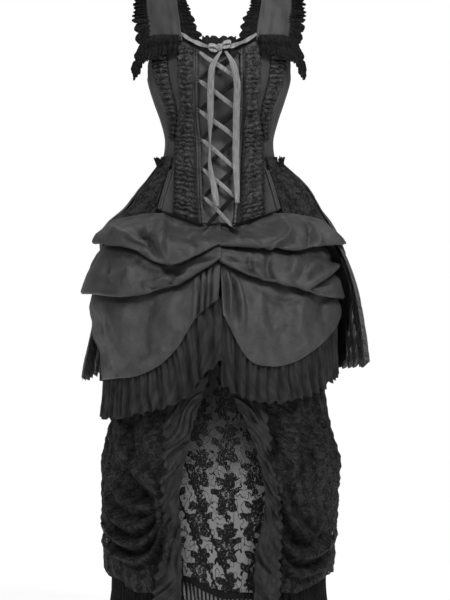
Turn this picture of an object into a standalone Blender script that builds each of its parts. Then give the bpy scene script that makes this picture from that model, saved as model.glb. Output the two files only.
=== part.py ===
"""Bustle dress: a laced corset bodice with wide straps, tiered taffeta poufs over the hips and
seat, and a long lace skirt that opens in front over a sheer lace panel.

Metres, +Z up. The origin is the middle of the waist, the front faces -Y and the wearer's left
side is at +X. Every cloth piece is a grid laid on a surface of two parameters, u across and v
from top to bottom, then thickened both ways. Angles run round the body in degrees: 0 at centre
front, 90 at the +X side, 180 at centre back, and negative angles go round by the -X side."""

import bmesh
import bpy
import numpy as np

TAFFETA_THICK = 0.0016
LACE_THICK = 0.0012
RIBBON_THICK = 0.0009
SEAM_TRIM = 0.12  # degrees taken off each side of a seam, for a gap of about 0.4 mm
BUTT_GAP = 0.0005  # gap where one edge stands on another

SIDE_FRONT_SEAM = 52.0  # between the bodice's front and side panels
SIDE_BACK_SEAM = 100.0  # between its side and back panels
SKIRT_SIDE_SEAM = 95.0
POUF_END = 87.0  # where the front swags stop at the side
BACK_START = 88.7  # where the bustle's back pieces start
LOOP_COUNT = 7  # lacing loops on each edge
TOP_LOOP = 0.190
LOOP_SPACING = 0.0635
RIBBON_WIDTH = 0.010


def table(columns, *rows):
    """A table with named columns, its rows sorted by the first one."""
    values = np.array(sorted(rows), float)
    return dict(zip(columns.split(), values.T))


def read(of, column, at):
    """A smooth curve through a column: a cubic between rows, its slope taken from the neighbours."""
    places = next(iter(of.values()))
    values = of[column]
    slopes = np.gradient(values, places)
    at = np.clip(at, places[0], places[-1])
    i = np.clip(np.searchsorted(places, at) - 1, 0, len(places) - 2)
    step = places[i + 1] - places[i]
    t = (at - places[i]) / step
    start = (1 + 2 * t) * (1 - t) ** 2 * values[i] + t * (1 - t) ** 2 * step * slopes[i]
    end = t**2 * (3 - 2 * t) * values[i + 1] + t**2 * (t - 1) * step * slopes[i + 1]
    return start + end


def mix(a, b, share):
    return a + (b - a) * share


def ease(low, high, at):
    """0 below low, 1 above high, and a smooth rise between."""
    t = np.clip((at - low) / (high - low), 0, 1)
    return t * t * (3 - 2 * t)


# Level sections of the body of the dress. left and right are its half widths at -X and +X,
# front and back its depths, and square is the power of the superellipse, 2 for an ellipse.
SECTION = "height left right front back square"
TORSO = table(
    SECTION,
    (0.260, 0.150, 0.150, 0.100, 0.098, 2.6),
    (0.225, 0.156, 0.156, 0.112, 0.100, 2.6),
    (0.178, 0.161, 0.161, 0.124, 0.101, 2.6),
    (0.132, 0.157, 0.157, 0.127, 0.098, 2.5),
    (0.088, 0.144, 0.144, 0.117, 0.092, 2.4),
    (0.044, 0.129, 0.129, 0.104, 0.086, 2.3),
    (0.000, 0.119, 0.119, 0.095, 0.083, 2.2),
    (-0.040, 0.124, 0.124, 0.096, 0.090, 2.2),
    (-0.090, 0.143, 0.143, 0.101, 0.105, 2.2),
    (-0.140, 0.162, 0.162, 0.106, 0.118, 2.2),
    (-0.200, 0.178, 0.178, 0.111, 0.126, 2.2),
)
HIP = table(
    SECTION,
    (-0.030, 0.126, 0.130, 0.088, 0.100, 2.2),
    (-0.060, 0.137, 0.155, 0.082, 0.115, 2.2),
    (-0.090, 0.162, 0.182, 0.078, 0.140, 2.2),
    (-0.120, 0.182, 0.204, 0.078, 0.165, 2.2),
    (-0.150, 0.203, 0.219, 0.078, 0.190, 2.2),
    (-0.180, 0.245, 0.238, 0.080, 0.220, 2.2),
    (-0.240, 0.264, 0.270, 0.090, 0.250, 2.2),
)
POUF = table(
    SECTION,
    (-0.120, 0.178, 0.172, 0.104, 0.13, 2.1),
    (-0.160, 0.205, 0.196, 0.118, 0.18, 2.1),
    (-0.200, 0.243, 0.222, 0.142, 0.23, 2.1),
    (-0.240, 0.270, 0.248, 0.166, 0.27, 2.1),
    (-0.300, 0.289, 0.262, 0.190, 0.29, 2.1),
    (-0.350, 0.297, 0.268, 0.203, 0.29, 2.1),
    (-0.420, 0.285, 0.264, 0.212, 0.28, 2.1),
    (-0.480, 0.266, 0.260, 0.214, 0.27, 2.1),
    (-0.540, 0.261, 0.257, 0.216, 0.26, 2.1),
    (-0.620, 0.258, 0.260, 0.220, 0.26, 2.1),
)
BUSTLE = table(
    SECTION,
    (-0.040, 0.128, 0.130, 0.086, 0.096, 2.2),
    (-0.090, 0.162, 0.182, 0.080, 0.154, 2.2),
    (-0.120, 0.182, 0.204, 0.080, 0.200, 2.2),
    (-0.150, 0.203, 0.219, 0.100, 0.240, 2.2),
    (-0.180, 0.238, 0.238, 0.130, 0.268, 2.2),
    (-0.240, 0.254, 0.272, 0.166, 0.300, 2.2),
    (-0.300, 0.260, 0.290, 0.190, 0.318, 2.2),
    (-0.400, 0.264, 0.300, 0.210, 0.325, 2.2),
    (-0.520, 0.276, 0.300, 0.213, 0.320, 2.2),
    (-0.650, 0.280, 0.290, 0.220, 0.325, 2.2),
)
SKIRT = table(
    SECTION,
    (-0.150, 0.142, 0.142, 0.086, 0.105, 2.1),
    (-0.200, 0.158, 0.158, 0.096, 0.150, 2.1),
    (-0.300, 0.195, 0.195, 0.130, 0.215, 2.1),
    (-0.400, 0.212, 0.212, 0.152, 0.25, 2.1),
    (-0.500, 0.225, 0.227, 0.170, 0.27, 2.1),
    (-0.560, 0.232, 0.234, 0.178, 0.275, 2.1),
    (-0.620, 0.241, 0.244, 0.187, 0.285, 2.1),
    (-0.700, 0.260, 0.268, 0.203, 0.30, 2.1),
    (-0.800, 0.258, 0.262, 0.212, 0.315, 2.1),
    (-0.900, 0.252, 0.252, 0.216, 0.33, 2.1),
    (-1.000, 0.250, 0.248, 0.222, 0.345, 2.1),
    (-1.090, 0.264, 0.262, 0.236, 0.365, 2.1),
)


def sizes(section, height, out=0.0):
    """A section's four half sizes, moved out, and its squareness."""
    halves = [read(section, side, height) + out for side in ("left", "right", "front", "back")]
    return halves, read(section, "square", height)


def place(halves, square, angle, height):
    """Points of a superellipse: x goes with the sine of the angle and y with minus its cosine."""
    left, right, front, back = halves
    sine = np.sin(np.radians(angle))
    cosine = np.cos(np.radians(angle))
    half = np.where(sine < 0, left, right)
    depth = np.where(cosine > 0, front, back)
    x = half * np.sign(sine) * np.abs(sine) ** (2 / square)
    y = -depth * np.sign(cosine) * np.abs(cosine) ** (2 / square)
    return np.stack(np.broadcast_arrays(x, y, height), axis=-1)


def ring(section, angle, height, out=0.0):
    halves, square = sizes(section, height, out)
    return place(halves, square, angle, height)


def angle_of(section, side, across, height):
    """The angle at which a section is that far from the middle, on the +X or the -X side."""
    half = read(section, "right" if side > 0 else "left", height)
    square = read(section, "square", height)
    return side * np.degrees(np.arcsin((across / half) ** (square / 2)))


def finish(name, colour, roughness, metallic=0.0):
    made = bpy.data.materials.new(name)
    made.use_nodes = True
    shader = made.node_tree.nodes["Principled BSDF"]
    shader.inputs["Base Color"].default_value = (*colour, 1.0)
    shader.inputs["Roughness"].default_value = roughness
    shader.inputs["Metallic"].default_value = metallic
    return made


def cloth(name, surface, across, down, thickness, material):
    """A grid primitive bent over surface(u, v) and thickened both ways."""
    mesh = bpy.data.meshes.new(name)
    shape = bmesh.new()
    bmesh.ops.create_grid(shape, x_segments=across, y_segments=down, size=0.5)
    flat = np.array([vertex.co for vertex in shape.verts]) + 0.5
    for vertex, point in zip(shape.verts, surface(flat[:, 0], flat[:, 1])):
        vertex.co = point
    shape.to_mesh(mesh)
    shape.free()
    mesh.shade_smooth()
    mesh.materials.append(material)
    piece = bpy.data.objects.new(name, mesh)
    DRESS.objects.link(piece)
    wall = piece.modifiers.new("Cloth thickness", "SOLIDIFY")
    wall.thickness = thickness
    wall.offset = 0
    return piece


def pair(name, surface, across, down, thickness, material):
    """The same piece on both sides: surface(side, u, v) with side -1 for left and +1 for right."""
    for side, label in ((-1, "left"), (1, "right")):
        cloth(
            f"{name}_{label}",
            lambda u, v, side=side: surface(side, u, v),
            across,
            down,
            thickness,
            material,
        )


for old in list(bpy.data.objects):
    bpy.data.objects.remove(old)
DRESS = bpy.data.collections.new("Bustle dress")
bpy.context.scene.collection.children.link(DRESS)

SATIN = finish("Black satin", (0.035, 0.035, 0.037), 0.42)
TAFFETA = finish("Black taffeta", (0.05, 0.05, 0.052), 0.45)
LACE = finish("Black lace", (0.012, 0.012, 0.013), 0.8)
TULLE = finish("Black tulle", (0.02, 0.02, 0.021), 0.85)
RIBBON = finish("Grey satin ribbon", (0.16, 0.16, 0.165), 0.35)

# ---------------------------------------------------------------- the bodice

TOP_EDGE = table(
    "angle height",
    (0, 0.206),
    (15, 0.213),
    (24, 0.224),
    (45, 0.226),
    (64, 0.212),
    (76, 0.165),
    (90, 0.141),
    (104, 0.152),
    (117, 0.205),
    (128, 0.238),
    (150, 0.238),
    (164, 0.229),
    (180, 0.227),
)
FRONT_HEM = table(
    "angle height",
    (0, -0.187),
    (12, -0.186),
    (25, -0.174),
    (38, -0.163),
    (SIDE_FRONT_SEAM, -0.153),
)
SIDE_HEM = table("angle height", (SIDE_FRONT_SEAM, -0.056), (110, -0.052), (180, -0.066))
LACING_GAP = table(
    "height half",
    (0.226, 0.052),
    (0.130, 0.053),
    (0.060, 0.052),
    (0.000, 0.047),
    (-0.060, 0.045),
    (-0.120, 0.043),
    (-0.190, 0.038),
)
TAPE_WIDTH = 0.006
MODESTY_UNDERLAP = 0.012
MODESTY_DEPTH = -0.0048  # how far behind the bodice the modesty panel lies


def bodice_panel(start, end, hem):
    def surface(side, u, v):
        angle = mix(start + SEAM_TRIM, end - SEAM_TRIM, u)
        height = mix(read(TOP_EDGE, "height", angle), read(hem, "height", angle), v)
        return ring(TORSO, side * angle, height)

    return surface


def centre_strip(section, inner, outer, top, bottoms, out):
    """A strip beside the centre line, its edges given as distances from it at each height.

    bottoms are the heights at which its inner and its outer edge end."""

    def surface(side, u, v):
        height = mix(top, mix(*bottoms, u), v)
        across = mix(inner(height), outer(height), u)
        return ring(section, angle_of(section, side, across, height), height, out)

    return surface


def bodice_front(side, u, v):
    rough = mix(0.21, -0.18, v)
    lacing_edge = np.abs(angle_of(TORSO, side, read(LACING_GAP, "half", rough), rough))
    angle = mix(lacing_edge, SIDE_FRONT_SEAM - SEAM_TRIM, u)
    height = mix(read(TOP_EDGE, "height", angle), read(FRONT_HEM, "height", angle), v)
    return ring(TORSO, side * angle, height)


def modesty_panel(u, v):
    height = mix(0.205, -0.186, v)
    half = read(LACING_GAP, "half", height) + MODESTY_UNDERLAP
    edge = angle_of(TORSO, 1, half, height)
    return ring(TORSO, edge * (2 * u - 1), height, MODESTY_DEPTH)


def gap_edge(moved):
    return lambda height: read(LACING_GAP, "half", height) + moved


cloth("modesty_panel", modesty_panel, 4, 8, TAFFETA_THICK, SATIN)
pair("bodice_front", bodice_front, 4, 12, TAFFETA_THICK, SATIN)
pair(
    "bodice_side",
    bodice_panel(SIDE_FRONT_SEAM, SIDE_BACK_SEAM, SIDE_HEM),
    5,
    8,
    TAFFETA_THICK,
    SATIN,
)
pair("bodice_back", bodice_panel(SIDE_BACK_SEAM, 180, SIDE_HEM), 7, 8, TAFFETA_THICK, SATIN)
pair(
    "loop_tape",
    centre_strip(TORSO, gap_edge(-TAPE_WIDTH), gap_edge(-0.001), 0.204, (-0.184, -0.184), 0.0),
    1,
    9,
    LACE_THICK,
    SATIN,
)

# Gathered lace beside the lacing, and the bands that slant in from the bust to meet it.
TRIM_OUT = 0.0050  # how far the trims stand off the panels
INNER_BAND = table(
    "height outer",
    (0.205, 0.090),
    (0.130, 0.088),
    (0.070, 0.084),
    (0.000, 0.094),
    (-0.060, 0.096),
    (-0.120, 0.097),
    (-0.180, 0.099),
)
OUTER_BAND = table(
    "height inner outer",
    (0.185, 0.112, 0.146),
    (0.140, 0.108, 0.140),
    (0.100, 0.099, 0.127),
    (0.066, 0.091, 0.114),
    (0.030, 0.092, 0.108),
    (0.000, 0.097, 0.104),
)
pair(
    "inner_lace_band",
    centre_strip(
        TORSO,
        gap_edge(0.003),
        lambda height: read(INNER_BAND, "outer", height),
        0.203,
        (-0.182, -0.164),
        TRIM_OUT,
    ),
    2,
    9,
    LACE_THICK,
    LACE,
)
pair(
    "outer_lace_band",
    centre_strip(
        TORSO,
        lambda height: read(OUTER_BAND, "inner", height),
        lambda height: read(OUTER_BAND, "outer", height),
        0.185,
        (0.0, 0.0),
        TRIM_OUT,
    ),
    2,
    6,
    LACE_THICK,
    LACE,
)


def boning_channel(side, u, v):
    height = mix(-0.066, -0.152, v)
    return ring(TORSO, side * mix(47.0, 51.4, u), height, 0.0032)


pair("boning_channel", boning_channel, 1, 6, LACE_THICK, SATIN)

# ---------------------------------------------------------------- straps and neckline

STRAP_INNER_ANGLE = 24.0
STRAP_OUTER_ANGLE = 64.0
STRAP_BACK_INNER = 150.0
STRAP_BACK_OUTER = 125.0
STRAP_LAP = 0.009
STRAP_OUT = 0.0036
# The strap's two edges on their way over the shoulder.
STRAP = table(
    "along inner_x inner_y inner_z outer_x outer_y outer_z",
    (0.00, 0.080, -0.107, 0.224, 0.149, -0.068, 0.212),
    (0.14, 0.086, -0.100, 0.262, 0.157, -0.060, 0.255),
    (0.30, 0.092, -0.086, 0.308, 0.160, -0.050, 0.302),
    (0.45, 0.094, -0.060, 0.362, 0.158, -0.036, 0.348),
    (0.60, 0.096, -0.008, 0.405, 0.156, 0.000, 0.384),
    (0.75, 0.098, 0.046, 0.375, 0.152, 0.038, 0.354),
    (0.88, 0.099, 0.078, 0.312, 0.144, 0.062, 0.302),
    (1.00, 0.088, 0.090, 0.246, 0.134, 0.072, 0.240),
)


def strap(side, u, v, out=0.0):
    """The strap at v along it and u across it; u runs past 0 and 1 on the lace beside it."""
    edges = [
        np.stack([read(STRAP, f"{edge}_{axis}", v) for axis in "xyz"], axis=-1)
        for edge in ("inner", "outer")
    ]
    free = mix(edges[0], edges[1], u[:, None])
    front = ring_foot(mix(STRAP_INNER_ANGLE, STRAP_OUTER_ANGLE, u))
    back = ring_foot(mix(STRAP_BACK_INNER, STRAP_BACK_OUTER, u))
    from_front = ease(0.0, 0.2, v)[:, None]
    to_back = ease(0.84, 1.0, v)[:, None]
    point = mix(mix(front, free, from_front), back, to_back)
    outward = point * (1.0, 1.0, 0.0) + np.array((0.0, 0.0, 0.2)) * ease(0.3, 0.6, v)[:, None]
    outward /= np.linalg.norm(outward, axis=-1, keepdims=True)
    return (point + np.broadcast_to(out, v.shape)[:, None] * outward) * (side, 1, 1)


def ring_foot(angle):
    """The foot of a strap, lapped over the outside of the bodice's top edge."""
    return ring(TORSO, angle, read(TOP_EDGE, "height", angle) - STRAP_LAP, STRAP_OUT)


# How far the lace on the strap's neck side reaches, as shares of the strap's width.
INNER_LACE = table(
    "along reach",
    (0.00, 0.36),
    (0.07, 0.43),
    (0.14, 0.42),
    (0.22, 0.34),
    (0.30, 0.27),
    (0.45, 0.29),
    (1.00, 0.29),
)
LACE_GAP = 0.018  # between the strap's edges and the lace, in the same shares
OUTER_LACE = (1 + LACE_GAP, 1.34)  # where the lace on its arm side starts and ends
INNER_RUN = (0.008, 0.99)  # the stretch of the strap that each lace follows
OUTER_RUN = (0.14, 0.93)

pair("strap", strap, 3, 12, TAFFETA_THICK, SATIN)


def strap_lace_inner(side, u, v):
    along = mix(*INNER_RUN, v)
    return strap(side, mix(-read(INNER_LACE, "reach", along), -LACE_GAP, u), along)


def strap_lace_outer(side, u, v):
    return strap(side, mix(*OUTER_LACE, u), mix(*OUTER_RUN, v), 0.006 * u)


pair("strap_lace_inner", strap_lace_inner, 1, 13, LACE_THICK, LACE)


pair("strap_lace_outer", strap_lace_outer, 1, 10, LACE_THICK, LACE)


NECK_LACE_ANGLE = 8.3  # the straps' inner lace carries on from here


def neckline_lace(u, v):
    angle = mix(-NECK_LACE_ANGLE, NECK_LACE_ANGLE, u)
    height = read(TOP_EDGE, "height", np.abs(angle)) - mix(-0.016, 0.014, v)
    return ring(TORSO, angle, height, mix(0.0065, 0.0095, v))


cloth("neckline_lace", neckline_lace, 4, 1, LACE_THICK, LACE)

BUST_RUFFLE = table(
    "angle top bottom flare",
    (25, 0.228, 0.190, 0.014),
    (45, 0.230, 0.177, 0.024),
    (60, 0.229, 0.166, 0.030),
    (70, 0.218, 0.152, 0.034),
    (76, 0.206, 0.137, 0.036),
    (80, 0.198, 0.146, 0.034),
)


def bust_ruffle(side, u, v):
    angle = mix(25.5, 80.0, u)
    height = mix(read(BUST_RUFFLE, "top", angle), read(BUST_RUFFLE, "bottom", angle), v)
    out = mix(0.010 + 0.012 * ease(55, 78, angle), read(BUST_RUFFLE, "flare", angle), v)
    return ring(TORSO, side * angle, height, out)


pair("bust_ruffle", bust_ruffle, 7, 2, LACE_THICK, LACE)

# ---------------------------------------------------------------- lacing and ribbons

LACING_OVER = 0.0085  # how far out the ribbon lies where it passes over, and under
LACING_UNDER = 0.0050
LACING_EDGE = 0.0066


def zigzag(side, u, v):
    """The ribbon that starts at the top loop on that side and crosses at each row of loops."""
    crossing = u * (LOOP_COUNT - 1)
    row = np.minimum(np.floor(crossing), LOOP_COUNT - 2)
    t = crossing - row
    leaving = side * (-1) ** row
    height = TOP_LOOP - LOOP_SPACING * crossing
    half = read(LACING_GAP, "half", height) - TAPE_WIDTH - 0.004
    across = leaving * (1 - 2 * t) * half
    middle = np.sin(np.pi * t)
    level = np.where(leaving < 0, LACING_OVER, LACING_UNDER)
    out = mix(LACING_EDGE, level, middle)
    width = mix(0.45, 1.0, np.clip(2.5 * middle, 0, 1)) * RIBBON_WIDTH
    height = height - (v - 0.5) * width
    angle = angle_of(TORSO, 1, np.abs(across), height) * np.sign(across)
    return ring(TORSO, angle, height, out)


for side, label in ((-1, "left"), (1, "right")):
    cloth(
        f"lacing_ribbon_{label}",
        lambda u, v, side=side: zigzag(side, u, v),
        24,
        1,
        RIBBON_THICK,
        RIBBON,
    )

# Ribbons drawn from under each bust ruffle to a knot at the neckline, which has two loose tails.
NECK_RIBBON = table(
    "along x height out width",
    (0.0, 0.074, 0.229, 0.016, 0.010),
    (0.4, 0.050, 0.212, 0.017, 0.011),
    (0.8, 0.022, 0.200, 0.016, 0.010),
    (1.0, 0.0118, 0.1980, 0.0155, 0.007),
)
TAILS = {
    # Points down the middle of each tail: x, height, distance out of the bodice, width.
    "left": table(
        "along x height out width",
        (0.00, 0.004, 0.190, 0.0165, 0.006),
        (0.12, -0.012, 0.160, 0.0165, 0.012),
        (0.25, -0.016, 0.125, 0.0155, 0.013),
        (0.45, -0.017, 0.050, 0.0140, 0.012),
        (0.60, -0.018, -0.005, 0.0135, 0.008),
        (0.75, -0.018, -0.055, 0.0150, 0.009),
        (0.90, -0.010, -0.105, 0.0165, 0.013),
        (1.00, -0.004, -0.148, 0.0170, 0.011),
    ),
    "right": table(
        "along x height out width",
        (0.00, 0.013, 0.190, 0.0165, 0.006),
        (0.12, 0.026, 0.165, 0.0180, 0.012),
        (0.25, 0.034, 0.130, 0.0175, 0.013),
        (0.50, 0.033, 0.040, 0.0160, 0.013),
        (0.75, 0.033, -0.050, 0.0155, 0.013),
        (0.90, 0.035, -0.105, 0.0160, 0.011),
        (1.00, 0.036, -0.140, 0.0165, 0.009),
    ),
}


def neck_ribbon(side, u, v):
    height = read(NECK_RIBBON, "height", u) - (v - 0.5) * read(NECK_RIBBON, "width", u)
    across = read(NECK_RIBBON, "x", u)
    angle = angle_of(TORSO, side, across, height)
    return ring(TORSO, angle, height, read(NECK_RIBBON, "out", u))


def tail(label):
    way = TAILS[label]

    def surface(u, v):
        across = read(way, "x", v) + (u - 0.5) * read(way, "width", v)
        height = read(way, "height", v)
        angle = angle_of(TORSO, 1, np.abs(across), height) * np.sign(across)
        return ring(TORSO, angle, height, read(way, "out", v))

    return surface


def ribbon_knot(u, v):
    height = mix(0.203, 0.1925, v)
    angle = mix(-1.2, 1.5, u)
    return ring(TORSO, angle, height, 0.0165)


pair("neck_ribbon", neck_ribbon, 8, 1, RIBBON_THICK, RIBBON)
cloth("ribbon_knot", ribbon_knot, 3, 3, 0.006, RIBBON)
for label in TAILS:
    cloth(f"ribbon_tail_{label}", tail(label), 1, 14, RIBBON_THICK, RIBBON)

# ---------------------------------------------------------------- hips and poufs

BASQUE_START = 52.4
BASQUE_TOP = -0.034
BASQUE_BOTTOM = -0.190
BASQUE_OUT = 0.0050


def hip_halves(angle, height, out):
    """Half sizes of the hips: close over the bodice in front and at the top, then flaring."""
    flared = ease(54, 74, angle) * ease(-BASQUE_TOP, 0.080, -height)
    close = sizes(TORSO, height, BASQUE_OUT)[0]
    wide = [np.maximum(a, b) for a, b in zip(close, sizes(HIP, height)[0])]
    return [mix(a, b, flared) + out for a, b in zip(close, wide)]


def hip_basque(side, u, v):
    angle = mix(BASQUE_START, POUF_END, u)
    height = mix(BASQUE_TOP, BASQUE_BOTTOM, v)
    return place(hip_halves(angle, height, 0.0), 2.2, side * angle, height)


def waist_frill(side, u, v):
    """A frill of lace that stands out from the top of the basque, round the wearer's side."""
    angle = mix(66.0, POUF_END, u)
    height = mix(-0.054, -0.038, v)
    return place(hip_halves(angle, height, mix(0.006, 0.019, v)), 2.2, side * angle, height)


pair("hip_basque", hip_basque, 5, 6, LACE_THICK, LACE)
pair("waist_frill", waist_frill, 4, 1, LACE_THICK, LACE)

# Heights of the swags' edges, from centre front round to the side.
SWAG_TOP = table(
    "angle height",
    (0, -0.172),
    (12, -0.170),
    (25, -0.160),
    (36, -0.155),
    (44, -0.160),
    (60, -0.162),
    (70, -0.172),
    (86, -0.196),
)
SWAGS = {
    "left": table(
        "angle fold_one fold_two hem frill",
        (0, -0.231, -0.264, -0.372, -0.492),
        (8, -0.257, -0.293, -0.424, -0.534),
        (17, -0.276, -0.319, -0.483, -0.566),
        (25, -0.271, -0.333, -0.504, -0.578),
        (38, -0.245, -0.343, -0.528, -0.596),
        (60, -0.232, -0.341, -0.534, -0.611),
        (86, -0.224, -0.338, -0.536, -0.614),
    ),
    "right": table(
        "angle fold_one fold_two hem frill",
        (0, -0.235, -0.267, -0.368, -0.532),
        (12, -0.236, -0.298, -0.474, -0.562),
        (24, -0.238, -0.315, -0.495, -0.573),
        (36, -0.244, -0.323, -0.489, -0.569),
        (52, -0.238, -0.341, -0.460, -0.553),
        (70, -0.231, -0.347, -0.424, -0.530),
        (86, -0.227, -0.350, -0.400, -0.515),
    ),
}
SWAG_START = 0.25
ROLL = 0.0065  # radius of the turned-under fold


def rolled(v, top, fold, outer, bulge):
    """Height and distance out of a puff: down its face, then a half turn under at its fold."""
    t = np.clip(v / 0.75, 0, 1)
    turn = np.pi * np.clip((v - 0.75) / 0.25, 0, 1)
    height = mix(top, fold + ROLL, t) - ROLL * np.sin(turn)
    out = outer(t) + bulge * np.sin(np.pi * t) - ROLL * (1 - np.cos(turn))
    return height, out


def swag_upper(side, u, v):
    way = SWAGS["right" if side > 0 else "left"]
    angle = mix(SWAG_START, POUF_END, u)
    top = read(SWAG_TOP, "height", angle)
    fold = read(way, "fold_one", angle)
    height, out = rolled(v, top, fold, lambda t: 0.016 * t, 0.008)
    release = mix(read(FRONT_HEM, "height", angle) - 0.005, top, ease(44, 54, angle))
    freed = ease(0.0, 0.040, release - height)
    under_torso = sizes(TORSO, height, -0.0105)[0]
    over_hip = hip_halves(angle, height, 0.0060)
    held = [mix(a, b, ease(40, 51, angle)) for a, b in zip(under_torso, over_hip)]
    loose = [np.maximum(a, b + 0.002) for a, b in zip(sizes(POUF, height)[0], over_hip)]
    halves = [mix(a, b + out, freed) for a, b in zip(held, loose)]
    return place(halves, 2.2, side * angle, height)


def swag_middle(side, u, v):
    way = SWAGS["right" if side > 0 else "left"]
    angle = mix(SWAG_START, POUF_END, u)
    top = read(way, "fold_one", angle) + 0.018
    fold = read(way, "fold_two", angle)
    height, out = rolled(v, top, fold, lambda t: mix(-0.016, 0.012, t), 0.004)
    return ring(POUF, side * angle, height, out)


def swag_lower(side, u, v):
    way = SWAGS["right" if side > 0 else "left"]
    angle = mix(SWAG_START + 1.0 * v, POUF_END, u)
    height = mix(read(way, "fold_two", angle) + 0.020, read(way, "hem", angle), v)
    out = mix(-0.018, 0.0, v) + 0.010 * np.sin(np.pi * v)
    return ring(POUF, side * angle, height, out)


pair("swag_upper", swag_upper, 8, 7, TAFFETA_THICK, TAFFETA)
pair("swag_middle", swag_middle, 8, 6, TAFFETA_THICK, TAFFETA)
pair("swag_lower", swag_lower, 8, 4, TAFFETA_THICK, TAFFETA)


def pleats(u, count):
    """A zigzag between -1 and 1, one rise and one fall a pleat."""
    return 2 * np.abs(2 * ((u * count) % 1) - 1) - 1


SWAG_PLEATS = 11
FLOUNCE_PLEATS = 14
FRONT_PLEATS = 8


def swag_frill(side, u, v):
    way = SWAGS["right" if side > 0 else "left"]
    angle = mix(SWAG_START + 1.0, POUF_END, u)
    height = mix(read(way, "hem", angle) + 0.006, read(way, "frill", angle), v)
    out = -0.0065 + mix(0.001, 0.004, v) * pleats(u, SWAG_PLEATS)
    return ring(POUF, side * angle, height, out)


pair("swag_frill", swag_frill, 2 * SWAG_PLEATS, 1, LACE_THICK, TULLE)

# ---------------------------------------------------------------- the bustle at the back

# Angles go on past 180 to the left side.
BACK_EDGES = table(
    "angle puff apron frill flounce",
    (80, -0.236, -0.405, -0.475, -0.492),
    (110, -0.254, -0.440, -0.515, -0.502),
    (140, -0.272, -0.515, -0.605, -0.512),
    (180, -0.285, -0.545, -0.640, -0.520),
    (240, -0.262, -0.540, -0.620, -0.520),
    (280, -0.232, -0.530, -0.610, -0.532),
)
BACK_PUFF_TOP = -0.046


def back_angle(u):
    return mix(BACK_START, 360 - BACK_START, u)


def back_puff(u, v):
    angle = back_angle(u)
    fold = read(BACK_EDGES, "puff", angle)
    height, out = rolled(v, BACK_PUFF_TOP, fold, lambda t: 0.004 + 0.022 * t, 0.012)
    return ring(BUSTLE, angle, height, out * (0.25 + 0.75 * ease(0, 0.30, u * (1 - u) * 2)))


def back_apron(u, v):
    angle = back_angle(u)
    top = read(BACK_EDGES, "puff", angle) + 0.030
    height = mix(top, read(BACK_EDGES, "apron", angle), v)
    return ring(BUSTLE, angle, height, -0.010 + 0.006 * np.sin(np.pi * v))


def back_frill(u, v):
    angle = back_angle(u)
    height = mix(
        read(BACK_EDGES, "apron", angle) + 0.010, read(BACK_EDGES, "frill", angle), v
    )
    out = -0.018 + mix(0.001, 0.004, v) * pleats(u, 2 * SWAG_PLEATS)
    return ring(BUSTLE, angle, height, out)


def tulle_flounce(u, v):
    angle = back_angle(u)
    height = mix(
        read(BACK_EDGES, "puff", angle) + 0.018, read(BACK_EDGES, "flounce", angle), v
    )
    out = mix(-0.001, 0.028, v) + mix(0.001, 0.006, v) * pleats(u, FLOUNCE_PLEATS)
    return ring(BUSTLE, angle, height, out)


cloth("back_puff", back_puff, 12, 7, TAFFETA_THICK, TAFFETA)
cloth("back_apron", back_apron, 12, 3, TAFFETA_THICK, TAFFETA)
cloth("back_frill", back_frill, 4 * SWAG_PLEATS, 1, LACE_THICK, TULLE)
cloth("tulle_flounce", tulle_flounce, 2 * FLOUNCE_PLEATS, 2, LACE_THICK, TULLE)

# ---------------------------------------------------------------- the long skirt

SKIRT_TOP = -0.165
OPENING = {
    "left": table(
        "height inner outer",
        (-0.370, 0.010, 0.055),
        (-0.535, 0.026, 0.080),
        (-0.600, 0.046, 0.110),
        (-0.700, 0.070, 0.114),
        (-0.777, 0.082, 0.120),
        (-0.865, 0.077, 0.110),
        (-0.960, 0.077, 0.132),
        (-1.050, 0.080, 0.136),
    ),
    "right": table(
        "height inner outer",
        (-0.370, 0.010, 0.060),
        (-0.535, 0.018, 0.085),
        (-0.600, 0.048, 0.099),
        (-0.700, 0.083, 0.112),
        (-0.777, 0.095, 0.124),
        (-0.836, 0.088, 0.130),
        (-0.887, 0.077, 0.128),
        (-0.970, 0.072, 0.126),
        (-1.050, 0.074, 0.126),
    ),
}
RUCHE_ANGLE = 30.0
RUCHE_HEIGHT = 0.820
JABOT_OUT = 0.011
JABOT_FOLDS = 6
JABOT_BOTTOM = -1.030
OVERSKIRT_HEM = table(
    "angle height",
    (-180, -0.985),
    (-120, -0.975),
    (-70, -0.955),
    (-40, -0.985),
    (-18, -0.975),
    (18, -0.975),
    (40, -0.985),
    (70, -0.955),
    (120, -0.975),
    (180, -0.985),
)
FLOUNCE_TOP = -0.925
FLOUNCE_BOTTOM = -1.085
FLOUNCE_UNDER = -0.012
PANEL_UNDER = -0.022  # the sheer front panel lies this far inside the overskirt
PANEL_HALF = 0.120
PANEL_HEM = table(
    "x height",
    (-0.130, -0.944),
    (-0.073, -0.948),
    (-0.035, -0.964),
    (-0.010, -0.976),
    (0.060, -0.982),
    (0.130, -0.984),
)
BORDER_DEPTH = 0.014
FRONT_RUFFLE_BOTTOM = -1.062


def front_opening(side, height, moved):
    way = OPENING["right" if side > 0 else "left"]
    return np.abs(angle_of(SKIRT, side, read(way, "inner", height) + moved, height))


def drape(angle, height):
    """How far the overskirt stands out: drawn in where it is ruched, full below and beside it."""
    below = ease(0.70, 0.88, -height) * ease(1.0, 0.93, -height)
    full = below * np.sin(np.pi * np.clip((angle - RUCHE_ANGLE) / 62, 0, 1))
    drawn = np.exp(-(((angle - RUCHE_ANGLE) / 7) ** 2) - ((height + RUCHE_HEIGHT) / 0.11) ** 2)
    return 0.014 * full - 0.006 * drawn


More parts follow.
